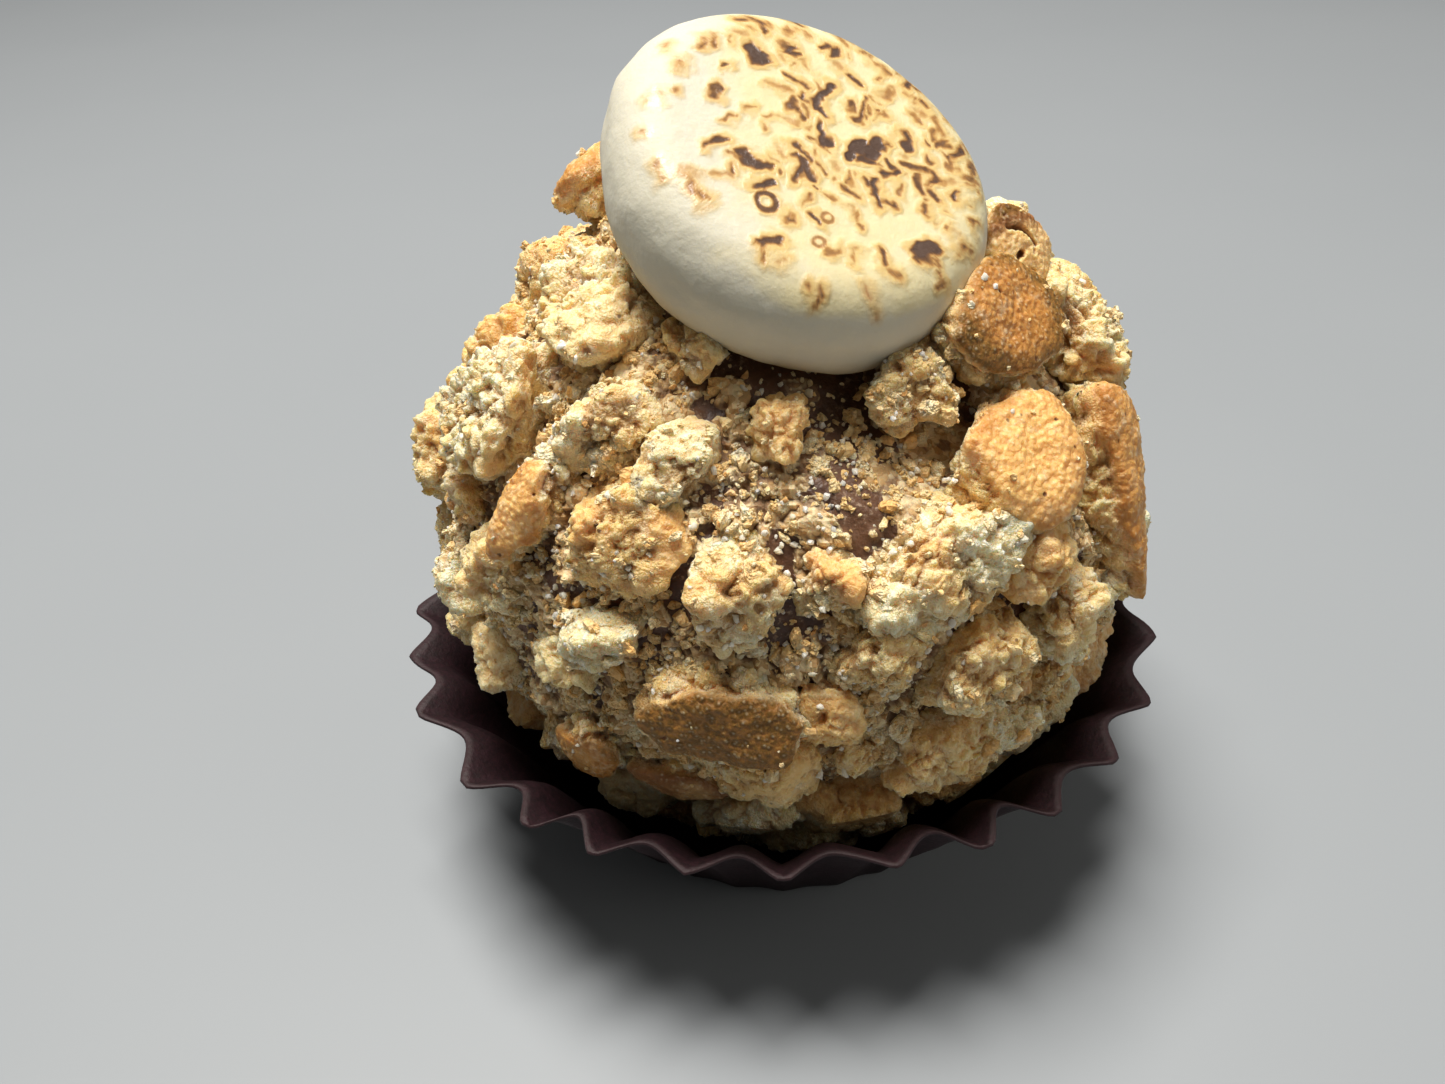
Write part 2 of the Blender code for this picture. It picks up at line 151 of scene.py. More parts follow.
def cubeSphere(steps):
    # six square grids on a cube's faces, in tan-spaced parameters, pushed out to a sphere of radius 1
    if steps not in spheres:
        u, v = np.meshgrid(np.arange(steps), np.arange(steps), indexing="ij")
        square = np.stack([u, v], axis=-1).reshape(-1, 1, 2) + np.array([[0, 0], [1, 0], [1, 1], [0, 1]])
        quads = []
        for axis, side in itertools.product(range(3), (0, steps)):
            grid = np.zeros((*square.shape[:2], 3), int)
            grid[..., (axis + 1) % 3], grid[..., (axis + 2) % 3] = square[..., 0], square[..., 1]
            grid[..., axis] = side
            quads.append(grid if side else grid[:, ::-1])
        side = steps + 1
        numbered = np.concatenate(quads).reshape(-1, 3) @ [1, side, side**2]
        keys, faces = np.unique(numbered, return_inverse=True)
        grid = np.stack([keys % side, keys // side % side, keys // side**2], axis=1)
        spheres[steps] = unit(np.tan((grid / steps * 2 - 1) * math.pi / 4)), faces.reshape(-1, 4)
    return spheres[steps]


def turnedFaces(rows, columns):
    # quads between rings of points that run from a first pole to a last, with triangles round both poles
    i, j = np.arange(columns), (np.arange(columns) + 1) % columns
    ring = 1 + np.arange(rows - 1)[:, None] * columns
    quads = np.stack([ring + i, ring + columns + i, ring + columns + j, ring + j], axis=-1).reshape(-1, 4)
    low, last = 1 + (rows - 1) * columns, 1 + rows * columns
    first = np.stack([np.zeros(columns, int), 1 + i, 1 + j], axis=1)
    return [quads, first, np.stack([np.full(columns, last), low + j, low + i], axis=1)]


def newPiece(name, points, faces, material, marks=None, node=None, rounded=True):
    # a mesh from points in millimetres and a list of face arrays, with a float attribute for each of the
    # marks; its faces are shaded smooth, or flat, or one by one
    mesh = bpy.data.meshes.new(name)
    corners = np.concatenate([block.ravel() for block in faces])
    sizes = np.concatenate([np.full(len(block), block.shape[1]) for block in faces])
    mesh.vertices.add(len(points))
    mesh.vertices.foreach_set("co", (points * mm).astype(np.float32).ravel())
    mesh.loops.add(len(corners))
    mesh.loops.foreach_set("vertex_index", corners.astype(np.int32))
    mesh.polygons.add(len(sizes))
    mesh.polygons.foreach_set("loop_start", np.concatenate([[0], np.cumsum(sizes)[:-1]]).astype(np.int32))
    mesh.polygons.foreach_set("use_smooth", np.broadcast_to(rounded, len(sizes)).copy())
    for mark, values in (marks or {}).items():
        mesh.attributes.new(mark, "FLOAT", "POINT").data.foreach_set("value", values.astype(np.float32))
    mesh.update(calc_edges=True)
    mesh.validate()
    mesh.materials.append(material)
    piece = bpy.data.objects.new(name, mesh)
    bpy.context.scene.collection.objects.link(piece)
    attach(piece, "root")
    if node:
        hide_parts(node)
    print("made", name, int((sizes - 2).sum()), "triangles")


class Wire:
    # a shader socket that takes part in sums: each operator adds a Math node
    def __init__(self, shader, socket):
        self.shader, self.socket = shader, socket

    def sum(self, operation, first, second):
        return self.shader.node("Math", {"operation": operation}, {0: first, 1: second})


for operator, kind in (("add", "ADD"), ("sub", "SUBTRACT"), ("mul", "MULTIPLY")):
    setattr(Wire, f"__{operator}__", lambda self, other, kind=kind: self.sum(kind, self, other))
    setattr(Wire, f"__r{operator}__", lambda self, other, kind=kind: self.sum(kind, other, self))


class Shader:
    # one material and the nodes in it
    def __init__(self, name):
        self.material = bpy.data.materials.new(name)
        self.material.use_nodes = True
        self.tree = self.material.node_tree
        self.surface = self.tree.nodes["Principled BSDF"]
        self.place = self.node("TexCoord", output="Object")

    def node(self, kind, settings=None, sockets=None, output=0):
        made = self.tree.nodes.new("ShaderNode" + kind)
        for key, value in (settings or {}).items():
            setattr(made, key, value)
        for key, value in (sockets or {}).items():
            self.feed(made.inputs[key], value)
        return Wire(self, made.outputs[output])

    def feed(self, socket, value):
        if isinstance(value, Wire):
            self.tree.links.new(value.socket, socket)
        else:
            colour = isinstance(value, tuple) and socket.type == "RGBA"
            socket.default_value = (*value, 1) if colour else value

    def finish(self, glow, **sockets):
        # feeds the surface: Base_Color stands for its socket Base Color. The glow is how strongly light
        # goes in, how deep in metres, and its colour
        for part, value in zip(("Weight", "Scale", "Radius"), glow):
            self.feed(self.surface.inputs["Subsurface " + part], value)
        for key, value in sockets.items():
            self.feed(self.surface.inputs[key.replace("_", " ")], value)
        return self.material

    def mark(self, name):
        return self.node("Attribute", {"attribute_name": name}, output="Fac")

    def blend(self, factor, first, second):
        # from the first colour to the second
        return self.node("Mix", {"data_type": "RGBA"}, {0: factor, 6: first, 7: second}, output=2)

    def layers(self, colour, *layers):
        # each next colour covers what is below it by its share
        for over, share in layers:
            colour = self.blend(share, colour, over)
        return colour

    def noise(self, size, detail=2.0, roughness=0.5):
        sockets = {"Vector": self.place, "Scale": 1 / (size * mm), "Detail": detail, "Roughness": roughness}
        return self.node("TexNoise", None, sockets)

    def creased(self, size, detail=2.0, roughness=0.5):
        # round lumps with sharp creases between them: the noise's distance from its middle, 0 in a crease
        away = self.noise(size, detail, roughness) - 0.5
        return away.sum("MINIMUM", away.sum("ABSOLUTE", away, 0.0) * 6, 1.0)

    def spots(self, size, output="Distance", bent=False):
        # distance to the nearest of the spots scattered one to a cell, in cell sizes, or that spot's own
        # shade; where bent, the place is moved first, by noise of nearly the cells' size
        place = self.place
        if bent:
            push = self.node("TexNoise", None, {"Vector": place, "Scale": 1.3 / (size * mm)}, "Color")
            push = self.node("VectorMath", {"operation": "SUBTRACT"}, {0: push, 1: (0.5, 0.5, 0.5)})
            sockets = {0: push, 1: (0.9 * size * mm,) * 3, 2: place}
            place = self.node("VectorMath", {"operation": "MULTIPLY_ADD"}, sockets)
        return self.node("TexVoronoi", None, {"Vector": place, "Scale": 1 / (size * mm)}, output)

    def ramp(self, value, low, high):
        # 0 at low and 1 at high, eased between them
        sockets = {"Value": value, "From Min": low, "From Max": high}
        return self.node("MapRange", {"interpolation_type": "SMOOTHSTEP"}, sockets)

    def bump(self, height, depth, strength=1.0):
        # depth in millimetres
        return self.node("Bump", None, {"Height": height, "Distance": depth * mm, "Strength": strength})


# the paper case: a flat floor and a fluted wall of thin paper, a little uneven as pressed paper is
case.update({
    "paper": 0.13, "columns": 16, "rows": 26, "floorRows": 5, "rimRows": 3, "clear": 0.5, "square": 0.45,
    # degrees from upright that the wall flares to, from how far up, and how much less it leans below that
    "rimLean": 62, "flareFrom": 0.74, "lessLean": 3,
    # where the flutes' tips are, in degrees about the case, from its left round the front; even behind
    "tips": [183, 195, 208, 224, 236, 246, 258, 270, 284, 296, 307, 319, 332, 347, 362], "sharp": 0.55,
    # waves in the folds' depth and in the rim's height, each as strength, number round the case and start
    "foldWaves": [(0.2, 5, 0.5), (0.14, 12, 2)], "deepest": 1.25,
    "rimWaves": [(0.6, 9, 1), (0.4, 23, 0)], "ragged": 0.16,
    "crinkle": 0.06, "crinkleSize": 1.3, "crinkleFrom": (1.5, 4), "fibre": 0.35, "fineFibre": 0.22,
    "dark": (0.010, 0.003, 0.0046), "plum": (0.023, 0.0066, 0.0105), "edge": (0.048, 0.022, 0.024),
})


def wavesRound(angle, parts):
    # the sum of strength * sin(number * angle + start)
    return sum(strength * np.sin(number * angle + start) for strength, number, start in parts)


def wallCourse(shares):
    # radius, height and lean of the wall's middle at shares of its slope: it leans out by an angle that
    # grows towards the rim, and its radius and height add up the lean's sine and cosine
    steps = np.linspace(0, 1, 401)
    run = case["rimRadius"] - case["baseRadius"]
    straight = math.asin(run / case["slant"]) - math.radians(case["lessLean"])
    lean = straight + (math.radians(case["rimLean"]) - straight) * eased(case["flareFrom"], 1, steps)
    outs, ups = np.cumsum(np.sin(lean)) - math.sin(straight), np.cumsum(np.cos(lean)) - math.cos(straight)
    radius = case["baseRadius"] + run * outs / outs[-1]
    height = math.sqrt(case["slant"] ** 2 - run**2) * ups / ups[-1]
    return [np.interp(shares, steps, values) for values in (radius, height, lean)]


def foldDepth(share):
    return case["baseFold"] + (case["rimFold"] - case["baseFold"]) * share**1.5


def caseSurface():
    # At the angle a and the share s up the slope, each flute adds its fold to the wall's radius, times a
    # mix of cos t and 1 - 2 |sin(t / 2)|, t being its own phase. The inner face is the same, moved in by
    # the paper's thickness
    columns = case["flutes"] * case["columns"]
    first, last = case["tips"][0] + 360, case["tips"][-1]
    tips = case["tips"] + list(np.linspace(last, first, case["flutes"] + 2 - len(case["tips"]))[1:])
    angle = np.radians(np.interp(np.arange(columns), np.arange(len(tips)) * case["columns"], tips))
    turn = np.arange(columns) * 2 * math.pi / case["columns"]
    wave = case["sharp"] * (1 - 2 * np.abs(np.sin(turn / 2))) + (1 - case["sharp"]) * np.cos(turn)
    deep = np.minimum(1 + wavesRound(angle, case["foldWaves"]), case["deepest"])

    def ring(share, inset):
        radius, height, lean = wallCourse(share)
        square = case["square"] * share * np.sin(2 * angle) ** 2
        radius = radius + foldDepth(share) * deep * wave
        radius = np.minimum(radius, case["widest"]) + square - inset * math.cos(lean)
        ragged = case["ragged"] * share**4 * (wavesRound(angle, case["rimWaves"]) - 1)
        high = np.maximum(height + inset * math.sin(lean) + ragged, inset)
        return np.stack([radius * np.cos(angle), case["depthShare"] * radius * np.sin(angle), high], axis=1)

    shares = np.linspace(0, 1, case["rows"])
    floor = np.linspace(0, 1, case["floorRows"] + 1)[1:-1]
    inner = [ring(0, case["paper"]) * [share, share, 1] for share in floor]
    inner += [ring(share, case["paper"]) for share in shares]
    rim = [ring(1, case["paper"] * (1 - step / case["rimRows"])) for step in range(1, case["rimRows"])]
    outer = [ring(share, 0) for share in shares[::-1]]
    outer += [ring(0, 0) * [share, share, 1] for share in floor[::-1]]
    rings = inner + rim + outer
    points = np.concatenate([[[0, 0, case["paper"]]], *rings, [[0, 0, 0]]])
    edge = np.zeros(len(rings))
    edge[len(inner) - 1:len(inner) + case["rimRows"]] = 1
    edge = np.concatenate([[0], np.repeat(edge, columns), [0]])
    wall = eased(*case["crinkleFrom"], points[:, 2])[:, None]
    shift = np.stack([waves(points, case["crinkleSize"], seed) for seed in (60, 61)], axis=1)
    points[:, :2] += case["crinkle"] * wall * shift
    low, high = np.array(cadBounds)[:, :2] / mm  # the solids' box
    points[:, :2] = np.clip(points[:, :2], low, high)
    return points, turnedFaces(len(rings), columns), edge


def paperMaterial():
    # matte plum paper: fine fibres, from dark to plum, and a paler cut edge
    shader = Shader("paper")
    fibre = shader.ramp(shader.noise(case["fibre"], 5.0, 0.7), 0.35, 0.7)
    colour = shader.layers(case["dark"], (case["plum"], fibre), (case["edge"], shader.mark("edge") * 0.4))
    normal = shader.bump(shader.noise(case["fineFibre"], 4.0, 0.65), 0.08, 0.6)
    return shader.finish((), Base_Color=colour, Roughness=0.6, Normal=normal, Specular_IOR_Level=0.35)


points, faces, edge = caseSurface()
newPiece("fluted_case", points, faces, paperMaterial(), {"edge": edge}, "paper_case")


# broken biscuit: its colours, then the sizes of its grain and of the patches of colour
biscuitLook = {
    "pale": (0.94, 0.76, 0.42), "cream": (0.99, 0.90, 0.64), "warm": (0.92, 0.55, 0.19),
    # the pit and crease colours are painted shade for the hollows and the creases between lumps
    "pit": (0.40, 0.19, 0.06), "creaseShade": (0.80, 0.53, 0.23), "speck": (0.08, 0.03, 0.012),
    # the deep brown also paints the front piece's shade; the scar colour is partly toasted brown and partly
    # painted shade in the crust's dips
    "scar": (0.20, 0.07, 0.02), "deep": (0.20, 0.10, 0.016), "sparkle": (0.95, 0.91, 0.78),
    "grain": 0.3, "coarseGrain": 0.7, "sand": 0.26, "fineGrain": 0.14, "mottle": 0.7, "warmPatch": 1.7,
    "clearPatch": 2.2, "toastPatch": 2.6, "speckGap": 0.9, "speckPatch": 3.1, "glow": (1.0, 0.84, 0.62),
}
# the baked face, its darker toasted patches, which also paint shade in the crust's creases and grain gaps,
# and how warm the broken sides are
crustLooks = {
    "biscuit_golden": {"crust": (0.93, 0.56, 0.20), "toast": (0.56, 0.25, 0.06), "warmth": 0.38},
    "biscuit_pale": {"crust": (0.94, 0.74, 0.38), "toast": (0.78, 0.46, 0.15), "warmth": 0.2},
    "biscuit_toasted": {"crust": (0.90, 0.58, 0.24), "toast": (0.29, 0.125, 0.04), "warmth": 0.5},
}


def biscuitMaterial(slot, name, strength, depth):
    # cream to golden granules, a little lighter on their crests and brown in the creases and hollows as
    # painted
    #     # light and shade, with a few dark specks and clear sugar; a baked face where the crust mark is 1,
    #     browner with the baked mark
    look, shader = {**biscuitLook, **crustLooks[slot]}, Shader(name)
    crust, hollow, tint, browned = [shader.mark(name) for name in ("crust", "hollow", "tint", "baked")]
    grain, coarse = shader.creased(look["grain"], 2.0, 0.6), shader.creased(look["coarseGrain"], 3.0, 0.6)
    body = grain * 0.5 + coarse * 0.5
    mottle, sandy = shader.noise(look["mottle"], 4.0, 0.7), shader.spots(look["sand"])
    warm = shader.noise(look["warmPatch"], 4.0, 0.6) + tint * 0.4 + look["warmth"] * 0.4
    clear = shader.ramp(shader.spots(look["coarseGrain"], "Color", True), 0.60, 0.66)
    clear = clear * shader.ramp(shader.noise(look["clearPatch"], 1.0), 0.48, 0.6)
    # the broken crumb: cream in patches and a little more on the lumps' crests as painted light; darker in
    # the creases and hollows as painted shade
    crumb = shader.layers(
        look["pale"],
        (look["cream"], shader.ramp(mottle + body * 0.2, 0.45, 0.75)),
        (look["warm"], shader.ramp(warm, 0.62, 0.98) * 0.8),
        (look["sparkle"], clear * 0.3),
        (look["creaseShade"], shader.ramp(body, 0.36, 0.0) * 0.5),
        (look["pit"], shader.ramp(hollow - body * 0.4, 0.3, 1.0) * 0.65),
    )
    patches = shader.noise(look["toastPatch"], 4.0, 0.62)
    baked = shader.layers(
        look["crust"],
        (look["toast"], shader.ramp(patches + browned * 0.55, 0.42, 0.95)),
        (look["cream"], shader.ramp(mottle, 0.5, 0.74) * 0.4),
        # deep brown where the baked mark passes 1, which on the front and the shoulder is partly painted
        # shade
        (look["deep"], shader.ramp(browned + patches * 0.5, 1.0, 1.45)),
        (look["cream"], shader.ramp(sandy, 0.35, 0.05) * 0.3),
        # painted shade: the toasted colour darkens the gaps between the sand grains and the creases of the
        # crust
        (look["toast"], shader.ramp(sandy, 0.45, 0.8) * 0.35),
        (look["toast"], shader.ramp(body, 0.3, 0.0) * 0.35),
        # the crust's dips and pins: partly toasted brown, partly painted shade in the dip
        (look["scar"], shader.ramp(hollow, 0.15, 0.7) * shader.ramp(crust, 0.7, 0.95) * 0.9),
    )
    speck = 1 - shader.ramp(shader.spots(look["speckGap"]), 0.05, 0.13)
    speck = speck * shader.ramp(shader.noise(look["speckPatch"], 1.0), 0.5, 0.6)
    fine = shader.noise(look["fineGrain"], 3.0, 0.6)
    height = (grain * 0.7 + coarse) * (1 - crust * 0.88) + fine * 0.5 - sandy * crust * 0.7
    return shader.finish(
        (strength, depth, look["glow"]), Specular_IOR_Level=0.35, Normal=shader.bump(height, 0.16, 0.9),
        Base_Color=shader.layers(crumb, (baked, crust), (look["speck"], speck * 0.8)),
        Roughness=0.6 - clear * (1 - crust) * 0.35 - crust * 0.12,
    )


biscuitMaterials = {slot: biscuitMaterial(slot, slot, 0.8, 0.0006) for slot in crustLooks}

crumble = {
    # broken into blocks at two sizes: how far apart they are, and how much their heights differ
    "block": 1.7, "blockStep": 0.5, "clump": 0.85, "clumpStep": 0.3, "dome": 0.45, "rise": 0.1,
    "bend": 0.3, "bendSize": 0.6,
    "billow": 0.7, "billowHeight": 0.75, "grain": 0.36, "grainHeight": 0.4,  # round lumps with sharp creases
    "rugged": (0.85, 0.4, 3.2),  # how rough on average, how much that varies, and over what distance
    "lump": 2.6, "lumpHeight": 0.35,
    "pore": 1.1, "poreDepth": 0.4, "poreShare": 0.22,
    "crustLump": 1.4, "crustHeight": 0.27, "crustGrain": 0.28, "crustGrainHeight": 0.1,
    "pin": 0.8, "pinShare": 0.45, "pinDepth": 0.1, "scarDepth": 0.3,
    "swell": 0.6, "setBack": 0.2, "crustEdge": (0.08, 0.38), "fray": 0.42, "fraySize": 1.1,
    "front": 0.4,  # how far the grid leans to the outer side, where it shows
}


def insideCase(points):
    # a point outside the folds' inner cone is moved in to it, one below the case's floor is lifted onto it,
    # and all stay in the solids' box; over the rim there is room for all
    shares, clear, overRim, wide = np.linspace(0, 1, 30), case["clear"], 3, 40
    wall, height, _ = wallCourse(shares)
    radius = np.hypot(points[:, 0], points[:, 1] / case["depthShare"])
    heights, rooms = [*(height + clear), height[-1] + overRim], [*(wall - foldDepth(shares) - clear), wide]
    share = np.minimum(1, np.interp(points[:, 2], heights, rooms) / np.maximum(radius, 0.001))
    moved = np.stack([points[:, 0] * share, points[:, 1] * share, np.maximum(points[:, 2], clear)], axis=1)
    return np.clip(moved, *np.array(cadBounds) / mm)


def spread(count, rng, shake=0.22):
    # directions spread evenly over a sphere by the golden angle, turned and shaken at random
    steps = np.arange(count) + 0.5
    height = 1 - 2 * steps / count
    angle = steps * math.pi * (3 - math.sqrt(5)) + rng.uniform(0, 2 * math.pi)
    flat = np.sqrt(1 - height**2)
    even = np.stack([flat * np.cos(angle), flat * np.sin(angle), height], axis=1)
    return unit(even + rng.normal(scale=shake, size=(count, 3)))


def stretched(normals, offsets, halfSizes):
    # the planes of a unit solid after stretching it to the half sizes
    tilted = normals / halfSizes
    length = np.linalg.norm(tilted, axis=1)
    return tilted / length[:, None], offsets / length


def crumbPlanes(halfSizes, rng, facets=8):
    return stretched(spread(facets, rng), rng.uniform(0.75, 1, facets), halfSizes)


slab = {
    "sides": 7, "shake": 0.25, "slope": (-0.35, 0.45), "sideOffsets": (0.8, 1), "tilt": 0.12,
    # the crust's two bevels, and the offsets of its three planes and of the inner side
    "bevels": [[0.35, 0.2, 0.9], [-0.3, -0.35, 0.9]], "faceOffsets": [0.9, 0.98, 0.98, 0.95],
}


def piecePlanes(halfSizes, rng):
    # a broken slab: its sides, then a crust of three planes on the outer side, and a flat inner side
    count, shake, tilt = slab["sides"], slab["shake"], slab["tilt"]
    angle = (np.arange(count) + rng.uniform(-shake, shake, count)) * 2 * math.pi / count
    sides = np.stack([np.cos(angle), np.sin(angle), rng.uniform(*slab["slope"], count)], axis=1)
    crust = [[rng.uniform(-tilt, tilt), rng.uniform(-tilt, tilt), 1], *slab["bevels"]]
    normals = unit(np.concatenate([sides, crust, [[0, 0, -1]]]))
    offsets = np.concatenate([rng.uniform(*slab["sideOffsets"], count), slab["faceOffsets"]])
    return stretched(normals, offsets, halfSizes)


def brokenRelief(points, seed):
    # How far a broken face stands out: blocks at two sizes, each with its own height and a domed top, slow
    # lumps, and the distance of two noises from 0, less the pores in a share of a third set of cells. Also
    # how deep in a hollow each point is, from 0 to 1
    c = crumble
    bend = np.stack([fractal(points, c["bendSize"], 2, seed + 3 * k) for k in range(3)], axis=1)
    bent = points + c["bend"] * bend
    out = c["lumpHeight"] * fractal(points, c["lump"], 2, seed + 33)
    rugged = c["rugged"][0] + c["rugged"][1] * waves(points, c["rugged"][2], 7)
    fine = 0
    for number, size in enumerate(("block", "clump")):
        apart, own = cells(bent, c[size], seed + 3 + 10 * number)
        fine = fine + c[size + "Step"] * (own - 0.5 - c["dome"] * (apart / 0.6) ** 2)
    hole, pick = cells(bent, c["pore"], seed + 43)
    pore = eased(0.4, 0.15, hole) * (pick < c["poreShare"])
    fine = fine + c["billowHeight"] * (np.abs(fractal(bent, c["billow"], 2, seed + 37)) - 0.2)
    fine = fine + c["grainHeight"] * (np.abs(fractal(bent, c["grain"], 2, seed + 23)) - 0.2)
    fine = (fine + c["rise"] - c["poreDepth"] * pore) * rugged
    return out + fine, np.clip(0.8 * pore + eased(0.0, -0.5, fine), 0, 1)


def alongLine(away, turn, length):
    # a line's direction, and how far along it the nearest spot of the line is from its middle
    along = np.array([math.cos(math.radians(turn)), math.sin(math.radians(turn))])
    return along, np.clip(away @ along, -length, length)


def lump(planes, longest, turnTo, centre, steps, seed, power=11, crustPlanes=(), scars=(), rough=1.0):
    # The solid inside the planes with its edges rounded, less so for a higher power p: in each direction d
    # its surface lies at (sum of max(0, d.n / offset)^p, and of |d / longest|^p) ^ (-1/p). The broken
    # relief is added along the normal of the ellipsoid of the longest half sizes. It gives way to gentler
    # relief on the crust, which is where the crust's own planes hold most of the sum and which stands proud
    # of the broken sides. A scar is a dip round a short line on the crust
    c = crumble
    directions, faces = cubeSphere(steps)
    directions = unit(directions + [0, 0, c["front"]])
    normals, offsets = planes
    terms = np.maximum(directions @ normals.T / offsets, 0) ** power
    total = terms.sum(axis=1) + np.linalg.norm(directions / longest, axis=1) ** power
    local = directions * (total ** (-1 / power) * (1 + c["swell"] / power))[:, None]
    placed = centre + local @ turnTo.T
    out, hollow = brokenRelief(placed, seed)
    out = out * rough
    crust, dip = np.zeros(len(placed)), 0
    if len(crustPlanes):
        share = terms[:, list(crustPlanes)].sum(axis=1) / total
        crust = eased(*c["crustEdge"], share + c["fray"] * fractal(placed, c["fraySize"], 4, seed + 31))
        out = out - c["setBack"]
    for x, y, turn, length, width in scars:
        away = local[:, :2] - [x, y] + 0.1 * fractal(placed, 0.5, 2, seed + 61)[:, None]
        along, spine = alongLine(away, turn, length)
        bow = np.array([-along[1], along[0]]) * 0.35 * (spine**2 / (length + 0.2))[:, None]
        gap = np.linalg.norm(away - spine[:, None] * along + bow, axis=1) / width
        dip = np.maximum(dip, eased(1.25, 0.55, gap) * (local[:, 2] > 0))
    apart, pick = cells(placed, c["pin"], seed + 47)
    pin = eased(0.17, 0.06, apart) * (pick < c["pinShare"])
    speckle, _ = cells(placed, c["crustGrain"], seed + 53)
    baked = c["crustHeight"] * fractal(placed, c["crustLump"], 4, seed + 41)
    baked = baked - c["pinDepth"] * pin - c["scarDepth"] * dip - c["crustGrainHeight"] * speckle
    moved = local + unit(local / np.array(longest) ** 2) * (out * (1 - crust) + baked * crust)[:, None]
    hollow = np.maximum(hollow * (1 - crust), np.maximum(pin, dip) * crust)
    return centre + moved @ turnTo.T, [faces], crust, hollow


# azimuth, elevation, half length, half width, half thickness, turn, lean, sway, lift, kind, how browned
pieces = {
    # the front is browned past 1 partly as painted shade, for the shade it lies in under the ball's overhang
    "front": (-8.5, 2, 3.5, 2.4, 1.5, -4, 12, 0, 0.8, "golden", 1.3),
    "upper_right": (43, 31, 3.4, 2.9, 1.5, 25, 14, -8, 0.6, "golden", 0.1),
    # the shoulder is browned further partly as painted shade, for its upper part lying under the piece above
    # it
    "shoulder": (52, 50, 3.3, 2.8, 1.5, -20, -12, 0, 1.0, "golden", 0.95),
    "toasted": (75, 54, 2.3, 2.0, 1.3, -25, -20, -28, 1.3, "toasted", -0.1),
    "crag": (24, 21, 3.6, 2.2, 1.8, 14, 0, 0, 0.3, "pale", 0.2),
    "low_slab": (26, -10.5, 3.7, 1.8, 1.7, 2, 10, 0, 0.6, "pale", 0.5),
    "low_right": (30, 4, 2.5, 2.0, 1.7, 10, 0, 0, 0.5, "pale", 0.4),
    "right_block": (45, 6, 2.1, 1.5, 1.8, 80, 0, 0, 0.6, "pale", 0.1),
    "right_tall": (64, 17, 5.2, 1.7, 2.0, 80, 0, 0, 0.5, "golden", 0.5),
    "high_right": (79, 39, 3.3, 2.4, 1.7, 62, 0, 0, 1.0, "pale", 0.3),
    "left": (-43, 26, 3.1, 1.4, 1.6, 70, 0, 0, 0.6, "golden", 0.4),
    "upper_left": (-54, 55, 3.1, 2.5, 1.8, -15, 0, 0, 0.4, "pale", 0.1),
    "left_high": (-62, 34, 3.2, 2.6, 1.8, 50, 0, 0, 0.8, "pale", 0.1),
    "behind": (-112, 61, 2.6, 2.0, 1.5, 30, -16, 0, 1.9, "golden", 0.4),
    "low_left": (-31, -12, 2.0, 1.8, 1.4, -40, 0, 0, 0.6, "golden", 0.7),
    "low_front": (-17, -14.5, 2.9, 1.3, 1.4, -6, 0, 0, 0.2, "toasted", 0.7),
    "far_left": (-86, 14, 3.2, 2.2, 1.7, 70, 0, 0, 0.8, "pale", 0.2),
    "back_1": (118, 6, 3.5, 2.4, 1.6, 20, 0, 0, 0.4, "golden", 0.5),
    "back_2": (146, 40, 3.1, 2.5, 1.6, -30, 0, 0, 0.4, "pale", 0.3),
    "back_3": (178, 12, 3.7, 2.3, 1.6, 8, 0, 0, 0.4, "golden", 0.4),
    "back_4": (-152, 34, 2.8, 2.4, 1.6, 60, 0, 0, 0.4, "pale", 0.2),
    "back_5": (-126, 6, 3.5, 2.1, 1.6, -12, 0, 0, 0.4, "golden", 0.6),
}
pieceMesh = {"steps": 40, "backSteps": 26, "point": 1.36, "paleCrust": 0.6, "power": 6, "palePower": 8}
edgeToast = {"toasted": 1.0}  # how much browner it is towards its upper edge
# dips in the crust, coloured dark as partly toasted brown and partly painted shade, on its piece's own axes:
# place along and across, turn, half length and half width
scars = {
    "toasted": [
        (0.1, 0.8, -35, 0.8, 0.12), (-0.4, -0.1, 20, 0.16, 0.14), (0.4, -0.1, 60, 0.1, 0.1),
        (0.1, -0.9, 0, 0.12, 0.08),
    ],
}

for seed, (name, numbers) in enumerate(pieces.items()):
    azimuth, elevation, length, width, thickness, turn, lean, sway, lift, kind, browned = numbers
    slot, pale, direction = "biscuit_" + kind, kind == "pale", outward(azimuth, elevation)
    node = "biscuit_" + name
    halfSizes, turnTo = np.array([length, width, thickness]), frameOn(direction, turn, lean, sway)
    points, faces, crust, hollow = lump(
        piecePlanes(halfSizes, np.random.default_rng(seed)), pieceMesh["point"] * halfSizes, turnTo,
        ballCentre + direction * (ball["core"] + lift),
        pieceMesh["steps" if abs(azimuth) < 100 else "backSteps"], 50 * seed,
        pieceMesh["palePower" if pale else "power"],
        () if pale else range(slab["sides"], slab["sides"] + 3), scars.get(name, ()),
    )
    if pale:
        crust = pieceMesh["paleCrust"] * eased(0.1, 0.5, 0.2 + fractal(points, 2.2, 2, 3500 + seed))
    local = (points - ballCentre) @ turnTo[:, :2] / [length, width]
    local = local - local.mean(axis=0)
    baked = browned - 0.15 + 0.5 * eased(0.4, 1.0, np.linalg.norm(local, axis=1))
    baked = baked + edgeToast.get(name, 0) * eased(0.1, 0.9, local[:, 1])
    tint = 0.5 + 0.5 * waves(points, 3.0, 900 + seed)
    marks = {"crust": crust, "hollow": hollow, "tint": tint, "baked": baked}
    newPiece("crumbly_" + node, insideCase(points), faces, biscuitMaterials[slot], marks, node)
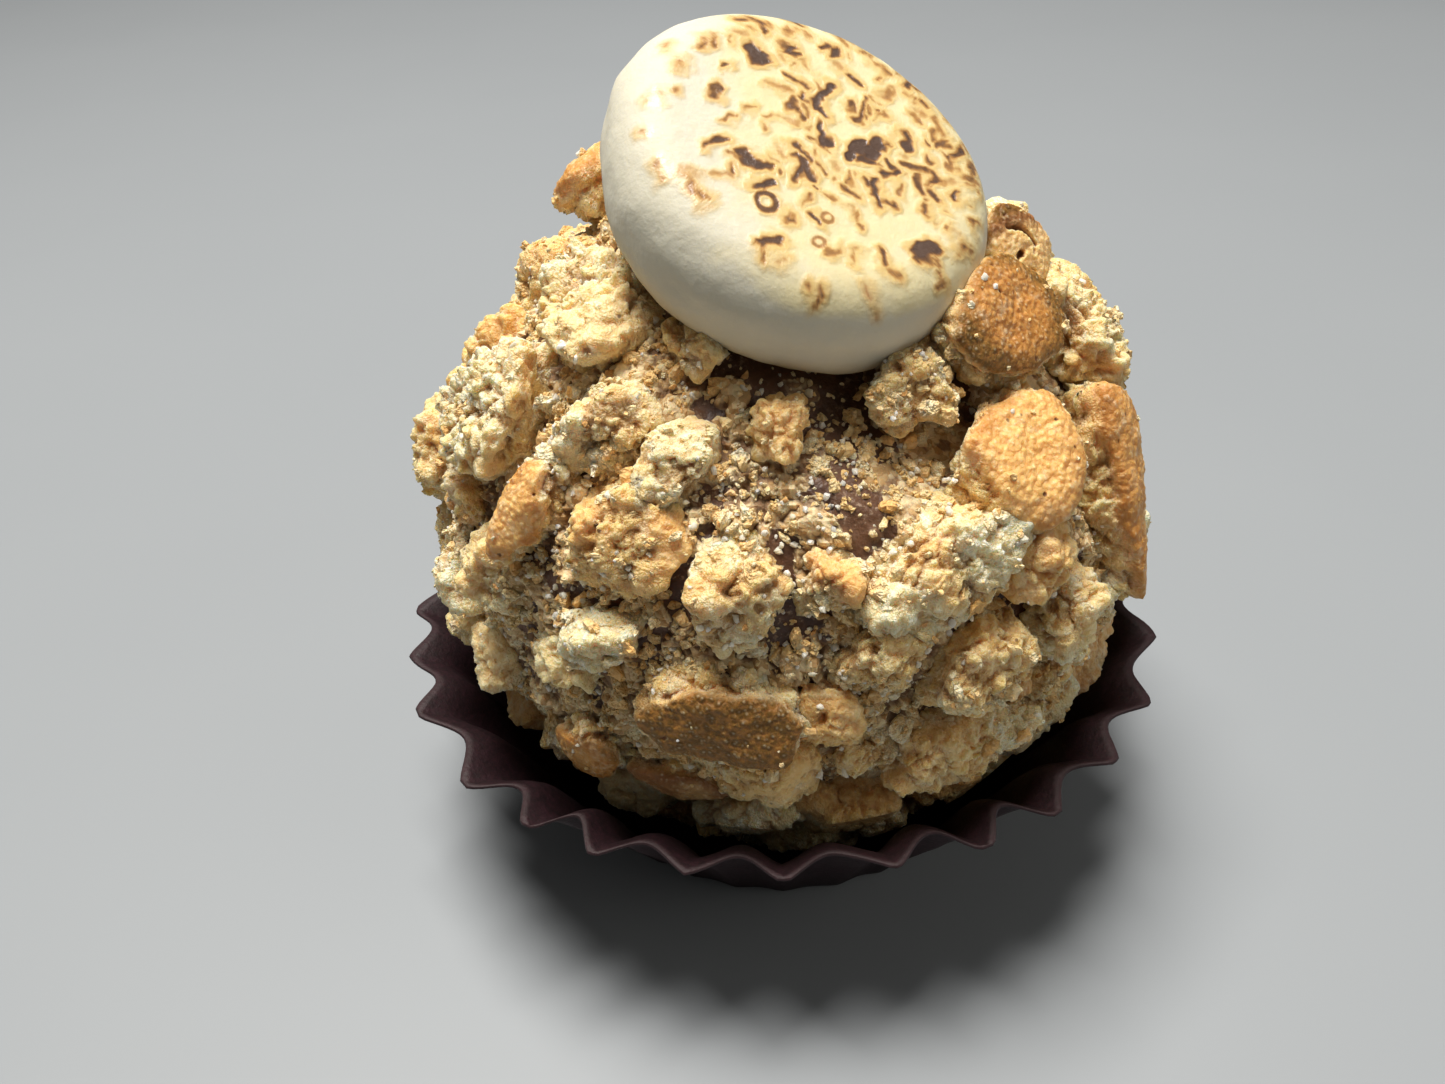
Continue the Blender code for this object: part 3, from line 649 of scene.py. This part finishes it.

# the crumbs fused to the ball: some listed, as azimuth, elevation, half length, half width and turn, then
# # seeded ones that shrink from the first size to the second, the larger ones clear of the bare patches
crumbs = {
    "placed": [
        (15, 11, 1.9, 1.6, 20), (-2, -9, 2.2, 1.4, 0), (-36, 2, 1.8, 1.6, 0), (-66, 16, 1.9, 1.5, 60),
        (-25, 27, 2.4, 2.2, 30), (-7, 21, 2.2, 1.7, 75), (-54, -8, 1.9, 1.6, 10), (6, 0, 1.7, 1.3, 90),
        (41, 17, 2.0, 1.4, 0), (-27, 11, 2.0, 1.5, 15), (-50, 12, 2.1, 1.6, 80), (30, 48, 2.0, 1.4, 60),
    ],
    "seeded": 118, "sizes": (2.9, 1.25), "tries": 80, "reach": 0.86, "point": 1.25,
    "steps": 22, "backSteps": 13, "rough": 0.75,
    "bare": [(-13, 22, 4), (9, 31, 7), (2, 56, 12), (150, 22, 8), (-100, 38, 8)], "bareSize": 1.5,
}
crumbKinds = {
    "crumbs_golden": "biscuit_golden", "crumbs_pale": "biscuit_pale", "crumbs_cream": "biscuit_pale",
    "crumbs_mixed": "biscuit_golden",
}


def crumbPlaces():
    # direction, half length, half width and turn; a seeded one goes where it has most room among the others
    rng = np.random.default_rng(21)
    degrees = 180 / math.pi / ball["coat"]
    taken = [(outward(*piece[:2]), math.sqrt(piece[2] * piece[3]) * degrees) for piece in pieces.values()]
    taken.append((unit(np.array(marshmallow["axis"])), (marshmallow["radius"] - 1.5) * degrees))
    places = [(outward(azimuth, elevation), *rest) for azimuth, elevation, *rest in crumbs["placed"]]
    taken += [(place[0], crumbs["reach"] * place[1] * degrees) for place in places]
    bare = [(outward(azimuth, elevation), radius) for azimuth, elevation, radius in crumbs["bare"]]
    for size in np.linspace(*crumbs["sizes"], crumbs["seeded"]):
        blocks = taken + bare if size > crumbs["bareSize"] else taken
        tries = unit(rng.normal(size=(crumbs["tries"], 3)))
        apart = degreesApart(tries, np.array([block[0] for block in blocks]))
        room = (apart - [block[1] for block in blocks]).min(axis=1)
        best = tries[room.argmax()]
        taken.append((best, crumbs["reach"] * size * degrees))
        places.append((best, size, size * rng.uniform(0.65, 0.95), rng.uniform(0, 180)))
    return places


groups = {name: [] for name in crumbKinds}
for number, (direction, length, width, turn) in enumerate(crumbPlaces()):
    rng = np.random.default_rng(100 + number)
    thickness = min(rng.uniform(0.62, 0.8) * length, 1.7)
    halfSizes = np.array([length, width, thickness])
    planes, turnTo = crumbPlanes(halfSizes, rng), frameOn(direction, turn, rng.uniform(-20, 20))
    middle = ballCentre + direction * (ball["core"] + thickness * rng.uniform(0.05, 0.3))
    steps = crumbs["steps"] if direction[1] < 0.25 else crumbs["backSteps"]
    longest, seed = crumbs["point"] * halfSizes, 2000 + 50 * number
    points, faces, _, hollow = lump(planes, longest, turnTo, middle, steps, seed, rough=crumbs["rough"])
    crust = eased(0.25, 0.5, rng.uniform(0, 0.6) + 0.5 * fractal(points, 1.8, 2, 3000 + number)) * 0.7
    tint = np.clip(rng.uniform(0, 1) + 0.3 * waves(points, 1.5, 4000 + number), 0, 1)
    part = (insideCase(points), faces[0], crust, hollow, tint, np.full(len(points), rng.uniform(0, 0.6)))
    groups[list(crumbKinds)[number % len(crumbKinds)]].append(part)

for name, slot in crumbKinds.items():
    points, faces, *marks = zip(*groups[name])
    starts = np.cumsum([0] + [len(block) for block in points])
    faces = np.concatenate([block + start for block, start in zip(faces, starts)])
    marks = dict(zip(("crust", "hollow", "tint", "baked"), map(np.concatenate, marks)))
    newPiece(name, np.concatenate(points), [faces], biscuitMaterials[slot], marks, "chocolate_ball")

# the chocolate ball, and the fine crumb on it
chocolate = {
    "steps": 122, "lump": 2.2, "lumpHeight": 0.22, "moundRadius": 6.3, "moundDepth": 3.4, "bite": 0.4,
    # how much of it fine crumb covers, how wide the patches are, and where else there is less of it
    "coat": 0.68, "coatPatch": 1.2, "open": [(-4, 11, 4), (3, 17, 4), (-20, 16, 4)],
    # the brown is the bloom's own colour, and also painted shade in the fine crumb's hollows and between its
    # grains
    "dark": (0.055, 0.020, 0.009), "brownAndHollowShade": (0.16, 0.075, 0.038), "dust": (0.46, 0.34, 0.24),
    "crumb": (0.50, 0.31, 0.13), "paleCrumb": (0.80, 0.64, 0.38),
    "bloom": 2.0, "dustGrain": 0.25, "dustPatch": 1.7, "crumbGrain": 0.28, "unevenness": 0.4,
}


def chocolateBall():
    # A sphere with smooth waves along random axes, dented where the marshmallow's edge presses in. A mound
    # carries the marshmallow: in each direction the surface is the smooth maximum of the sphere's and the
    # mound's distance, and it stays under the marshmallow's foot. Patches of fine crumb stand out from it
    # by the broken relief
    m, core = marshmallow, ball["core"]
    directions, faces = cubeSphere(chocolate["steps"])
    rng = np.random.default_rng(5)
    axes = (rng.uniform(1.5, 4.5) * directions @ unit(rng.normal(size=3)) for _ in range(6))
    wave = sum(np.sin(place + number) for number, place in enumerate(axes))
    azimuth, elevation, reach, depth = ball["dent"]
    apart = np.minimum(degreesApart(directions, outward(azimuth, elevation)) / reach, 1)
    radius = core + ball["wave"] * wave / 3 - depth * np.cos(apart * math.pi / 2) ** 2
    axis, face = unit(np.array(m["axis"])), np.array(m["centre"]) - ballCentre
    middle = face - axis * (m["height"] + chocolate["moundDepth"])
    along = directions @ middle
    left = chocolate["moundRadius"] ** 2 - (middle @ middle - along**2)
    mound = np.where((left > 0) & (along > 0), along + np.sqrt(np.maximum(left, 0)), 0)
    radius = core + np.log(np.exp(4 * (radius - core)) + np.exp(4 * (mound - core))) / 4
    rise, foot = directions @ axis, (face - axis * (m["height"] - chocolate["bite"])) @ axis
    under = np.where(rise > 0.2, foot / np.maximum(rise, 0.2), 99)
    points = ballCentre + directions * radius[:, None]
    radius = radius + chocolate["lumpHeight"] * fractal(points, chocolate["lump"], 4, 600)
    patch = fractal(points, chocolate["coatPatch"], 4, 620)
    for azimuth, elevation, reach in crumbs["bare"] + chocolate["open"]:
        apart = degreesApart(directions, outward(azimuth, elevation))
        patch = patch - 0.3 * eased(reach + 3, reach - 2, apart)
    coat = eased(-0.12, 0.12, patch + chocolate["coat"] - 0.5)
    out, hollow = brokenRelief(points, 640)
    radius = np.minimum(radius + coat * (0.4 + 0.9 * out), under)
    return insideCase(ballCentre + directions * radius[:, None]), [faces], {"coat": coat, "hollow": hollow}


def chocolateMaterial():
    # soft chocolate: dark brown with a duller bloom and a thin dust of sugar and crumb, and fine crumb where
    #     # the coat mark is 1, browner in its hollows and between its grains as painted shade
    c, shader = chocolate, Shader("coated_chocolate")
    dust = shader.ramp(shader.noise(c["dustGrain"], 3.0, 0.7), 0.52, 0.72)
    dust = dust * shader.ramp(shader.noise(c["dustPatch"], 2.0), 0.35, 0.65)
    shade, grain = [shader.spots(c["crumbGrain"], output, True) for output in ("Color", "Distance")]
    crumb = shader.layers(
        c["crumb"],
        (c["paleCrumb"], shader.ramp(shade, 0.25, 0.7)),
        # painted shade: brown in the fine crumb's hollows and between its grains
        (c["brownAndHollowShade"], shader.ramp(shader.mark("hollow") + grain * 0.5, 0.5, 1.1) * 0.8),
    )
    coat = shader.ramp(shader.mark("coat") + (shade - 0.5) * 0.5, 0.4, 0.6)
    bloom = shader.ramp(shader.noise(c["bloom"], 3.0), 0.35, 0.7)
    height = shader.noise(c["unevenness"], 4.0, 0.6) + coat * (shade - grain) * 0.8
    return shader.finish(
        (0.35, 0.0004, (1.0, 0.6, 0.3)), Normal=shader.bump(height, 0.2, 0.6),
        Base_Color=shader.layers(c["dark"], (c["brownAndHollowShade"], bloom), (c["dust"], dust * 0.75), (crumb, coat)),
        Roughness=0.42 + dust * 0.35 + coat * 0.3,
    )


points, faces, marks = chocolateBall()
newPiece(
    "chocolate_core", points, faces, chocolateMaterial(), marks, "chocolate_ball",
    marks["coat"][faces[0]].mean(axis=1) < 0.5,
)

marshmallow.update({
    "columns": 360, "faceRows": 110, "roundRows": 16, "sideRows": 30, "footRows": 12, "underRows": 8,
    "puff": 0.12, "puffSize": 4.0, "wrinkle": 0.07, "wrinkleSize": 1.3, "seeded": 150,
    "outline": [(0.012, 2, 2.1708), (0.008, 3, 1.5708)],  # waves round it: strength, number and start
    "white": (0.62, 0.59, 0.475), "cream": (0.68, 0.60, 0.36), "golden": (0.66, 0.45, 0.16),
    # the low colour is painted shade for the lower side
    "tan": (0.42, 0.21, 0.065), "low": (0.40, 0.32, 0.17),
    "burnt": (0.14, 0.072, 0.038), "char": (0.078, 0.056, 0.050),
    # toast marks on its face: place to the right and up, turn, half length, half width and strength
    "marks": [
        (-3, 3.7, 139, 0.3, 0.22, 0.9), (-4.9, 3.5, 86, 0.21, 0.09, 0.5),
        (-4.3, 1.1, 104, 0.26, 0.16, 0.55), (-1.4, 3, 170, 0.39, 0.07, 0.6),
        (-0.2, 2.9, 75, 0.71, 0.14, 0.88), (1.1, 4.1, 139, 0.28, 0.09, 0.7),
        (1.4, 2.8, 69, 0.53, 0.14, 0.62), (-0.9, 1.8, 101, 0.14, 0.1, 0.5), (2.1, 3.3, 149, 0.06, 0.1, 0.4),
        (2.3, 2.8, 19, 0.22, 0.07, 0.45), (0, 0.8, 109, 0.48, 0.1, 0.8), (1.4, 0.6, 62, 0.44, 0.26, 1),
        (1.9, 0.8, 34, 0.2, 0.22, 1), (2.3, 1.4, 31, 0.12, 0.26, 0.85), (3.3, 2, 137, 0.34, 0.14, 0.75),
        (2.7, 0, 180, 0.26, 0.13, 0.85), (3.8, 0.8, 8, 0.37, 0.13, 0.6), (2.5, -1.2, 107, 0.64, 0.13, 0.85),
        (1.5, -1.5, 151, 0.39, 0.12, 0.62), (3.2, -0.6, 98, 0.22, 0.08, 0.5),
        (5.7, 0.1, 95, 0.25, 0.09, 0.8), (5.5, 2.3, 48, 0.48, 0.1, 0.75), (6.3, 1.4, 25, 0.22, 0.2, 0.5),
        (4.6, 3.5, 121, 0.36, 0.09, 0.45), (4.6, -3.1, 153, 0.06, 0.46, 0.85),
        (-1.3, -5.2, 42, 0.46, 0.19, 0.72), (-0.6, -1.2, 138, 0.51, 0.14, 0.72),
        (-2.5, -1.7, 171, 0.37, 0.21, 0.75), (-3.8, -1.5, 34, 0.54, 0.12, 0.75),
        (-1.9, -2.7, 41, 0.16, 0.13, 0.8), (-0.2, -2.8, 80, 0.26, 0.1, 0.5),
        (-0.8, -3.7, 171, 0.07, 0.14, 0.6), (1.6, -2.7, 110, 0.11, 0.11, 0.4),
        (1.9, -3, 166, 0.15, 0.1, 0.5), (3, -4.3, 116, 0.36, 0.09, 0.7), (3.5, -4.7, 33, 0.29, 0.09, 0.5),
        (0.9, -6.4, 94, 0.3, 0.09, 0.55), (-5.5, -3.4, 116, 0.31, 0.07, 0.5),
        (-6.5, -1.8, 6, 0.08, 0.14, 0.35), (-6.5, -0.3, 23, 0.21, 0.24, 0.22),
        (-5.8, 1.6, 90, 0.24, 0.09, 0.35), (-3.5, -0.1, 58, 0.2, 0.09, 0.45),
        (-2.8, 0.7, 46, 0.3, 0.07, 0.5), (-1.9, 2.2, 180, 0.37, 0.11, 0.3), (-1.4, 1, 12, 0.24, 0.13, 0.28),
        (-3.3, -3, 14, 0.34, 0.14, 0.34), (-4.4, -3.4, 7, 0.22, 0.25, 0.24),
        (-3.6, -4.6, 14, 0.13, 0.13, 0.2), (0.4, 4.5, 175, 0.09, 0.12, 0.3),
        (-1.9, 5.5, 150, 0.09, 0.12, 0.5), (-1.2, 5.7, 4, 0.11, 0.09, 0.35),
        (1.9, 5.5, 152, 0.41, 0.11, 0.5), (2.4, 4.4, 8, 0.14, 0.14, 0.35), (3.2, 4.5, 2, 0.14, 0.12, 0.4),
        (3.5, 5.3, 1, 0.26, 0.14, 0.45), (3.8, 3.7, 3, 0.11, 0.11, 0.3), (5.2, 1.5, 6, 0.13, 0.13, 0.45),
        (4.7, 0.3, 61, 0.15, 0.09, 0.4), (2, -4.5, 93, 0.18, 0.07, 0.4), (1.3, -4.6, 94, 0.14, 0.06, 0.3),
        (-3.8, 4.4, 179, 0.22, 0.18, 0.26), (-3.7, 5.4, 24, 0.31, 0.13, 0.3),
        (2.8, 6.6, 129, 0.21, 0.08, 0.4), (5, 4.3, 133, 0.2, 0.1, 0.35), (6.1, 3.1, 128, 0.16, 0.1, 0.4),
        (6, -2.1, 150, 0.15, 0.25, 0.2),
    ],
    # rings: place, radius, half width and strength
    "rings": [(-1.6, -3.4, 0.36, 0.1, 0.65), (0.7, -3.2, 0.2, 0.06, 0.42), (0.5, -4.4, 0.22, 0.08, 0.42)],
})


def marshmallowSurface():
    # A profile from the middle of the face, over its rounded edge, down the side and under the foot, turned
    # about the axis, with its radius scaled by 1 plus the outline's waves, and wider at the bulge
    m = marshmallow
    quarter, low = np.linspace(0, math.pi / 2, m["roundRows"]), np.linspace(0, math.pi / 2, m["footRows"])
    flat = np.linspace(0, 1, m["faceRows"])[1:] ** 0.75 * (m["radius"] - m["faceRound"])
    side = np.linspace(-m["faceRound"], m["footRound"] - m["height"], m["sideRows"])[1:-1]
    under = np.linspace(m["radius"] - m["footRound"], 0, m["underRows"] + 1)[1:-1]
    radius = np.concatenate([
        flat, (m["radius"] - m["faceRound"] * (1 - np.sin(quarter)))[1:], np.full(len(side), m["radius"]),
        m["radius"] - m["footRound"] * (1 - np.cos(low)), under,
    ])
    height = np.concatenate([
        np.zeros(len(flat)), -m["faceRound"] * (1 - np.cos(quarter))[1:], side,
        -m["height"] + m["footRound"] * (1 - np.sin(low)), np.full(len(under), -m["height"]),
    ])
    angle = np.arange(m["columns"]) * 2 * math.pi / m["columns"]
    toward, within, bulge = m["bulge"]
    apart = np.abs((np.degrees(angle) - toward + 180) % 360 - 180)
    outline = 1 + wavesRound(angle, m["outline"]) + bulge / m["radius"] * eased(within, 0, apart)
    across, up = np.outer(radius, outline * np.cos(angle)), np.outer(radius, outline * np.sin(angle))
    local = np.stack([across, up, np.broadcast_to(height[:, None], across.shape)], axis=-1).reshape(-1, 3)
    points = np.concatenate([[[0, 0, 0]], local, [[0, 0, -m["height"]]]])
    return points, turnedFaces(len(radius), m["columns"])


def toastMarks(local):
    # how burnt each point of the face is: the strongest of all marks, each fading over its edge from its
    #     # spine, a short line, with the distance bent by noise; the wider golden halo round them; and the
    #     face
    #     # itself, 1 where it is toasted most and below 0 down the sides, as painted shade on the lower side
    m = marshmallow
    rng = np.random.default_rng(8)
    place = local[:, :2] + 0.45 * np.stack([fractal(local, 0.8, 3, 70 + k) for k in range(2)], axis=1)
    ragged = 0.16 * fractal(local, 0.42, 3, 75)
    burnt, halo = np.zeros(len(local)), np.zeros(len(local))
    seeded = []
    while len(seeded) < m["seeded"]:
        x, y = rng.uniform(-7, 7, 2)
        out, side = math.hypot(x, y), math.hypot(x - 1.2, y - 0.8)
        dense = 0.12 + 0.8 * eased(5.2, 1.5, side) + (x + y > 1) * eased(4.2, 5.8, out)
        if out < 6.9 and rng.uniform() < dense:
            size = rng.uniform() ** 1.6
            turn, strength = rng.normal(112, 45), rng.uniform(0.25, 0.8)
            seeded.append((x, y, turn, 0.05 + 0.26 * size, 0.05 + 0.08 * size, strength))
    for x, y, turn, length, width, strength in m["marks"] + seeded:
        away = place - [x, y]
        along, spine = alongLine(away, turn, length)
        gap = np.linalg.norm(away - spine[:, None] * along, axis=1) - 1.15 * width + ragged
        burnt = np.maximum(burnt, strength * eased(0.14, -0.14, gap))
        halo = np.maximum(halo, (0.4 + 0.6 * strength) * eased(0.55, 0.0, gap))
    for x, y, radius, width, strength in m["rings"]:
        away = np.linalg.norm(0.8 * local[:, :2] + 0.2 * place - [x, y], axis=1)
        gap = np.abs(away - radius) - width + 0.4 * ragged
        burnt = np.maximum(burnt, strength * eased(0.07, -0.06, gap))
        halo = np.maximum(halo, strength * eased(0.3, 0, gap))
    onFace = eased(-1.3, -0.4, local[:, 2])
    # painted shade: the lower side goes darker towards the foot
    low = 0.6 * eased(-2.2, -m["height"], local[:, 2])
    face = 0.35 + 0.65 * eased(-6.5, -1.0, local[:, 0] + 0.3 * local[:, 1])
    return {"burnt": burnt * onFace, "halo": halo * onFace, "face": onFace * face - low}


def marshmallowMaterial():
    # soft white sugar foam, with painted shade darker down its lower side; its toasted face is cream, golden
    #     # and glossy round brown and nearly black marks
    m, shader = marshmallow, Shader("marshmallow")
    burnt, halo, face = shader.mark("burnt"), shader.mark("halo"), shader.mark("face")
    near = shader.ramp(halo + shader.noise(0.5, 3.0) * 0.5, 0.35, 1.05)
    scorch = burnt * 1.35 + (shader.noise(0.35, 3.0) - 0.5) * 0.35
    colour = shader.layers(
        m["white"],
        # painted shade down the lower side
        (m["low"], shader.ramp(face, 0.0, -0.6)),
        (m["cream"], shader.ramp(face + shader.noise(1.6, 3.0) * 0.9, 0.8, 1.5)),
        (m["golden"], near * 0.8),
        (m["tan"], shader.ramp(scorch, 0.05, 0.5) * 0.9),
        (m["burnt"], shader.ramp(scorch, 0.35, 0.85)),
        (m["char"], shader.ramp(scorch, 0.8, 1.05) * 0.7),
    )
    ridges = shader.noise(0.7, 4.0, 0.55) * (0.7 + near * 0.5)
    height = ridges + near * 0.25 - burnt * 0.6 + shader.noise(0.16, 2.0) * 0.12
    return shader.finish(
        (0.4, 0.0008, (1.0, 0.85, 0.6)), Base_Color=colour, Roughness=0.62 - near * 0.3,
        Normal=shader.bump(height, 0.16, 0.6), Coat_Weight=near * 0.4, Coat_Roughness=0.15,
        Specular_IOR_Level=0.3,
    )


local, faces = marshmallowSurface()
marks = toastMarks(local)
puff = marshmallow["puff"] * (2 * fractal(local, marshmallow["puffSize"], 3, 80) - 1.0)
wrinkle = marshmallow["wrinkle"] * (fractal(local, marshmallow["wrinkleSize"], 3, 84) - 0.4)
local = local * (1 + (puff + wrinkle) / marshmallow["radius"])[:, None]
axis = unit(np.array(marshmallow["axis"]))
across = unit(np.cross([0.0, 1.0, 0.0], axis))
turnTo = np.stack([across, np.cross(axis, across), axis], axis=1)
points = np.array(marshmallow["centre"]) + local @ turnTo.T
newPiece("toasted_marshmallow", points, faces, marshmallowMaterial(), marks, "marshmallow")

# loose bits on the ball: how many, smallest and largest half size, how flat, how fine their mesh is, how
# deep they are sunk, their seed, how much they keep to the valleys, how wide their clumps are, how many find
# a baked face, how many a bare patch, and their finish
bitColumns = "count half flat steps sink seed valley clump onCrust onBare slot".split()
looseBits = {
    "crumbs_small": (1600, (0.18, 0.48), 0.8, 3, 0.6, 31, 0.85, 1.6, 0.04, 0.6, "biscuit_pale"),
    "crumbs_fine": (3200, (0.07, 0.17), 0.85, 2, 0.4, 32, 0.7, 1.2, 0.2, 1.0, "biscuit_pale"),
    "granules_pale": (2600, (0.09, 0.26), 0.7, 2, 0.8, 34, 0.5, 2.2, 0.02, 0.4, "biscuit_pale"),
    "granules_golden": (1800, (0.09, 0.24), 0.7, 2, 0.8, 35, 0.5, 1.9, 0.02, 0.4, "biscuit_golden"),
    "sugar_grains": (1500, (0.08, 0.19), 0.9, 2, 0.4, 33, 0.6, 2.0, 0.1, 1.0, "coated_chocolate"),
}


def rays(count, rng):
    # where rays from all round meet the coated ball, the face's normal there, and that face's crust
    depsgraph, scene = bpy.context.evaluated_depsgraph_get(), bpy.context.scene
    directions = unit(rng.normal(size=(count, 3)))
    starts = ballCentre + directions[directions[:, 2] > -0.45] * 45
    aims = unit(ballCentre + rng.normal(scale=3.5, size=starts.shape) - starts)
    found = []
    for start, aim in zip(starts, aims):
        hit, spot, normal, index, landedOn, _ = scene.ray_cast(depsgraph, Vector(start * mm), Vector(aim))
        if hit and landedOn.name not in ("toasted_marshmallow", "fluted_case"):
            crust = landedOn.data.attributes.get("crust")
            corner = landedOn.data.polygons[index].vertices[0]
            found.append((*(np.array(spot) / mm), *normal, crust.data[corner].value if crust else 0))
    return np.array(found)


def landings(look, rng):
    # a share of the rays' hits: more in valleys, in clumps where slow noise is high, few on a baked face
    bpy.context.view_layer.update()
    kept = np.zeros((0, 7))
    while len(kept) < look["count"]:
        found = rays(6000, rng)
        height = np.linalg.norm(found[:, :3] - ballCentre, axis=1)
        chance = 1 - look["valley"] * eased(15.2, 16.9, height)
        chance *= eased(-0.35, 0.25, fractal(found[:, :3], look["clump"], 2, look["seed"]))
        chance *= 1 - (1 - look["onCrust"]) * eased(0.25, 0.5, found[:, 6])
        directions = unit(found[:, :3] - ballCentre)
        for azimuth, elevation, reach in crumbs["bare"]:
            apart = degreesApart(directions, outward(azimuth, elevation))
            chance *= 1 - (1 - look["onBare"]) * eased(reach + 1.5, reach - 1, apart)
        kept = np.concatenate([kept, found[rng.uniform(size=len(found)) < chance]])
    return kept[:look["count"]]


def anyTurns(count, rng):
    # rotation matrices from random quaternions of length 1
    w, x, y, z = unit(rng.normal(size=(count, 4))).T
    return np.array([
        [1 - 2 * (y * y + z * z), 2 * (x * y - z * w), 2 * (x * z + y * w)],
        [2 * (x * y + z * w), 1 - 2 * (x * x + z * z), 2 * (y * z - x * w)],
        [2 * (x * z - y * w), 2 * (y * z + x * w), 1 - 2 * (x * x + y * y)],
    ]).transpose(2, 0, 1)


def bitShapes(steps, rng, kinds=12):
    # a few angular solids on the same grid, for the loose bits to be copies of
    directions, faces = cubeSphere(steps)
    shapes = []
    for _ in range(kinds):
        normals, offsets = crumbPlanes(np.array([1.0, 0.85, 0.7]), rng, 7)
        reach = (np.maximum(directions @ normals.T / offsets, 0) ** 8).sum(axis=1) ** (-1 / 8)
        shapes.append(directions * (reach * rng.uniform(0.82, 1.18, len(reach)))[:, None])
    return np.array(shapes), faces


def scatter(name, look, material):
    rng = np.random.default_rng(look["seed"])
    found = landings(look, rng)
    shapes, faces = bitShapes(look["steps"], rng)
    half = look["half"][0] + (look["half"][1] - look["half"][0]) * rng.uniform(size=len(found)) ** 2
    stretch = half[:, None] * rng.uniform(0.75, 1.2, size=(len(found), 3)) * [1, 1, look["flat"]]
    made = shapes[rng.integers(len(shapes), size=len(found))] * stretch[:, None, :]
    made = np.einsum("nij,nvj->nvi", anyTurns(len(found), rng), made)
    made = made + (found[:, :3] + found[:, 3:6] * (half * (0.5 - look["sink"]))[:, None])[:, None, :]
    perBit = made.shape[1]
    faces = (faces[None] + np.arange(len(found))[:, None, None] * perBit).reshape(-1, 4)
    tint, golden = rng.uniform(size=len(found)), rng.uniform(size=len(found))
    marks = {
        "tint": np.repeat(tint, perBit), "crust": np.repeat(0.8 * (golden > 0.85), perBit),
        "hollow": np.repeat(0.4 * (golden < 0.05), perBit), "baked": np.repeat(tint, perBit),
    }
    newPiece(name, insideCase(made.reshape(-1, 3)), [faces], material, marks, None, False)


def sugarMaterial():
    # milky crystals, which light shines through
    shader = Shader("sugar")
    colour = shader.blend(shader.mark("tint"), (0.96, 0.91, 0.78), (0.93, 0.80, 0.55))
    return shader.finish(
        (0.8, 0.0004, (1.0, 0.9, 0.75)), Base_Color=colour, Roughness=0.35, Transmission_Weight=0.1, IOR=1.45,
    )


# light goes less deep into loose crumbs, which are thinner than the crumb's own glow
looseMaterials = {"coated_chocolate": sugarMaterial()}
for slot in ("biscuit_golden", "biscuit_pale"):
    looseMaterials[slot] = biscuitMaterial(slot, slot + "_bits", 0.35, 0.00012)
for name, numbers in looseBits.items():
    look = dict(zip(bitColumns, numbers))
    scatter(name, look, looseMaterials[look["slot"]])

# the floor, the lights and the camera, in metres
studio = {
    "floor": (0.26, 0.28, 0.30), "floorPatch": (0.36, 0.38, 0.40), "floorHalf": 1.5, "gap": 0.00002,
    "sky": (1.0, 0.97, 0.92), "skyStrength": 0.10, "aim": (0, 0, 0.02),
    # place, size, power in watts, colour
    "lights": {
        "key": ((-0.045, 0.05, 0.40), 0.17, 2.95, (1.0, 0.96, 0.90)),
        "fill": ((0.20, -0.08, 0.15), 0.12, 0.08, (1.0, 0.95, 0.86)),
    },
    # close above the front, looking down: turns in degrees, and focal length and picture width in pixels
    "camera": {
        "place": (0, -0.04763, 0.04913), "turns": (53.097, 2.468, 1.307), "focal": 1200, "width": 1445,
    },
}


def addFloor():
    # a flat square sheet; its pale colour has a slow unevenness
    mesh = bpy.data.meshes.new("floor")
    half = studio["floorHalf"]
    corners = [(-half, -half, 0), (half, -half, 0), (half, half, 0), (-half, half, 0)]
    mesh.from_pydata(corners, [], [(0, 1, 2, 3)])
    shader = Shader("floor")
    colour = shader.blend(shader.noise(30.0, 2.0) * 0.15, studio["floor"], studio["floorPatch"])
    mesh.materials.append(shader.finish((), Base_Color=colour, Roughness=0.55))
    floor = bpy.data.objects.new("floor", mesh)
    bpy.context.scene.collection.objects.link(floor)
    floor.location.z = -studio["gap"]


def addLights():
    for name, (place, size, power, colour) in studio["lights"].items():
        data = bpy.data.lights.new(name, "AREA")
        data.size, data.energy, data.color = size, power, colour
        light = bpy.data.objects.new(name, data)
        light.location = place
        light.rotation_euler = (Vector(place) - Vector(studio["aim"])).to_track_quat("Z", "Y").to_euler()
        bpy.context.scene.collection.objects.link(light)
    world = bpy.data.worlds.new("studio")
    world.use_nodes = True
    background = world.node_tree.nodes["Background"]
    background.inputs["Color"].default_value = (*studio["sky"], 1)
    background.inputs["Strength"].default_value = studio["skyStrength"]
    bpy.context.scene.world = world
    bpy.context.scene.view_settings.view_transform = "Standard"


def addCamera():
    look = studio["camera"]
    data = bpy.data.cameras.new("camera")
    data.sensor_width, data.clip_start = 36, 0.001
    data.lens = data.sensor_width * look["focal"] / look["width"]
    camera = bpy.data.objects.new("camera", data)
    camera.location = look["place"]
    camera.rotation_euler = [math.radians(turn) for turn in look["turns"]]
    bpy.context.scene.collection.objects.link(camera)
    bpy.context.scene.camera = camera


addFloor()
addLights()
addCamera()
bpy.context.view_layer.update()
print("scene ready")
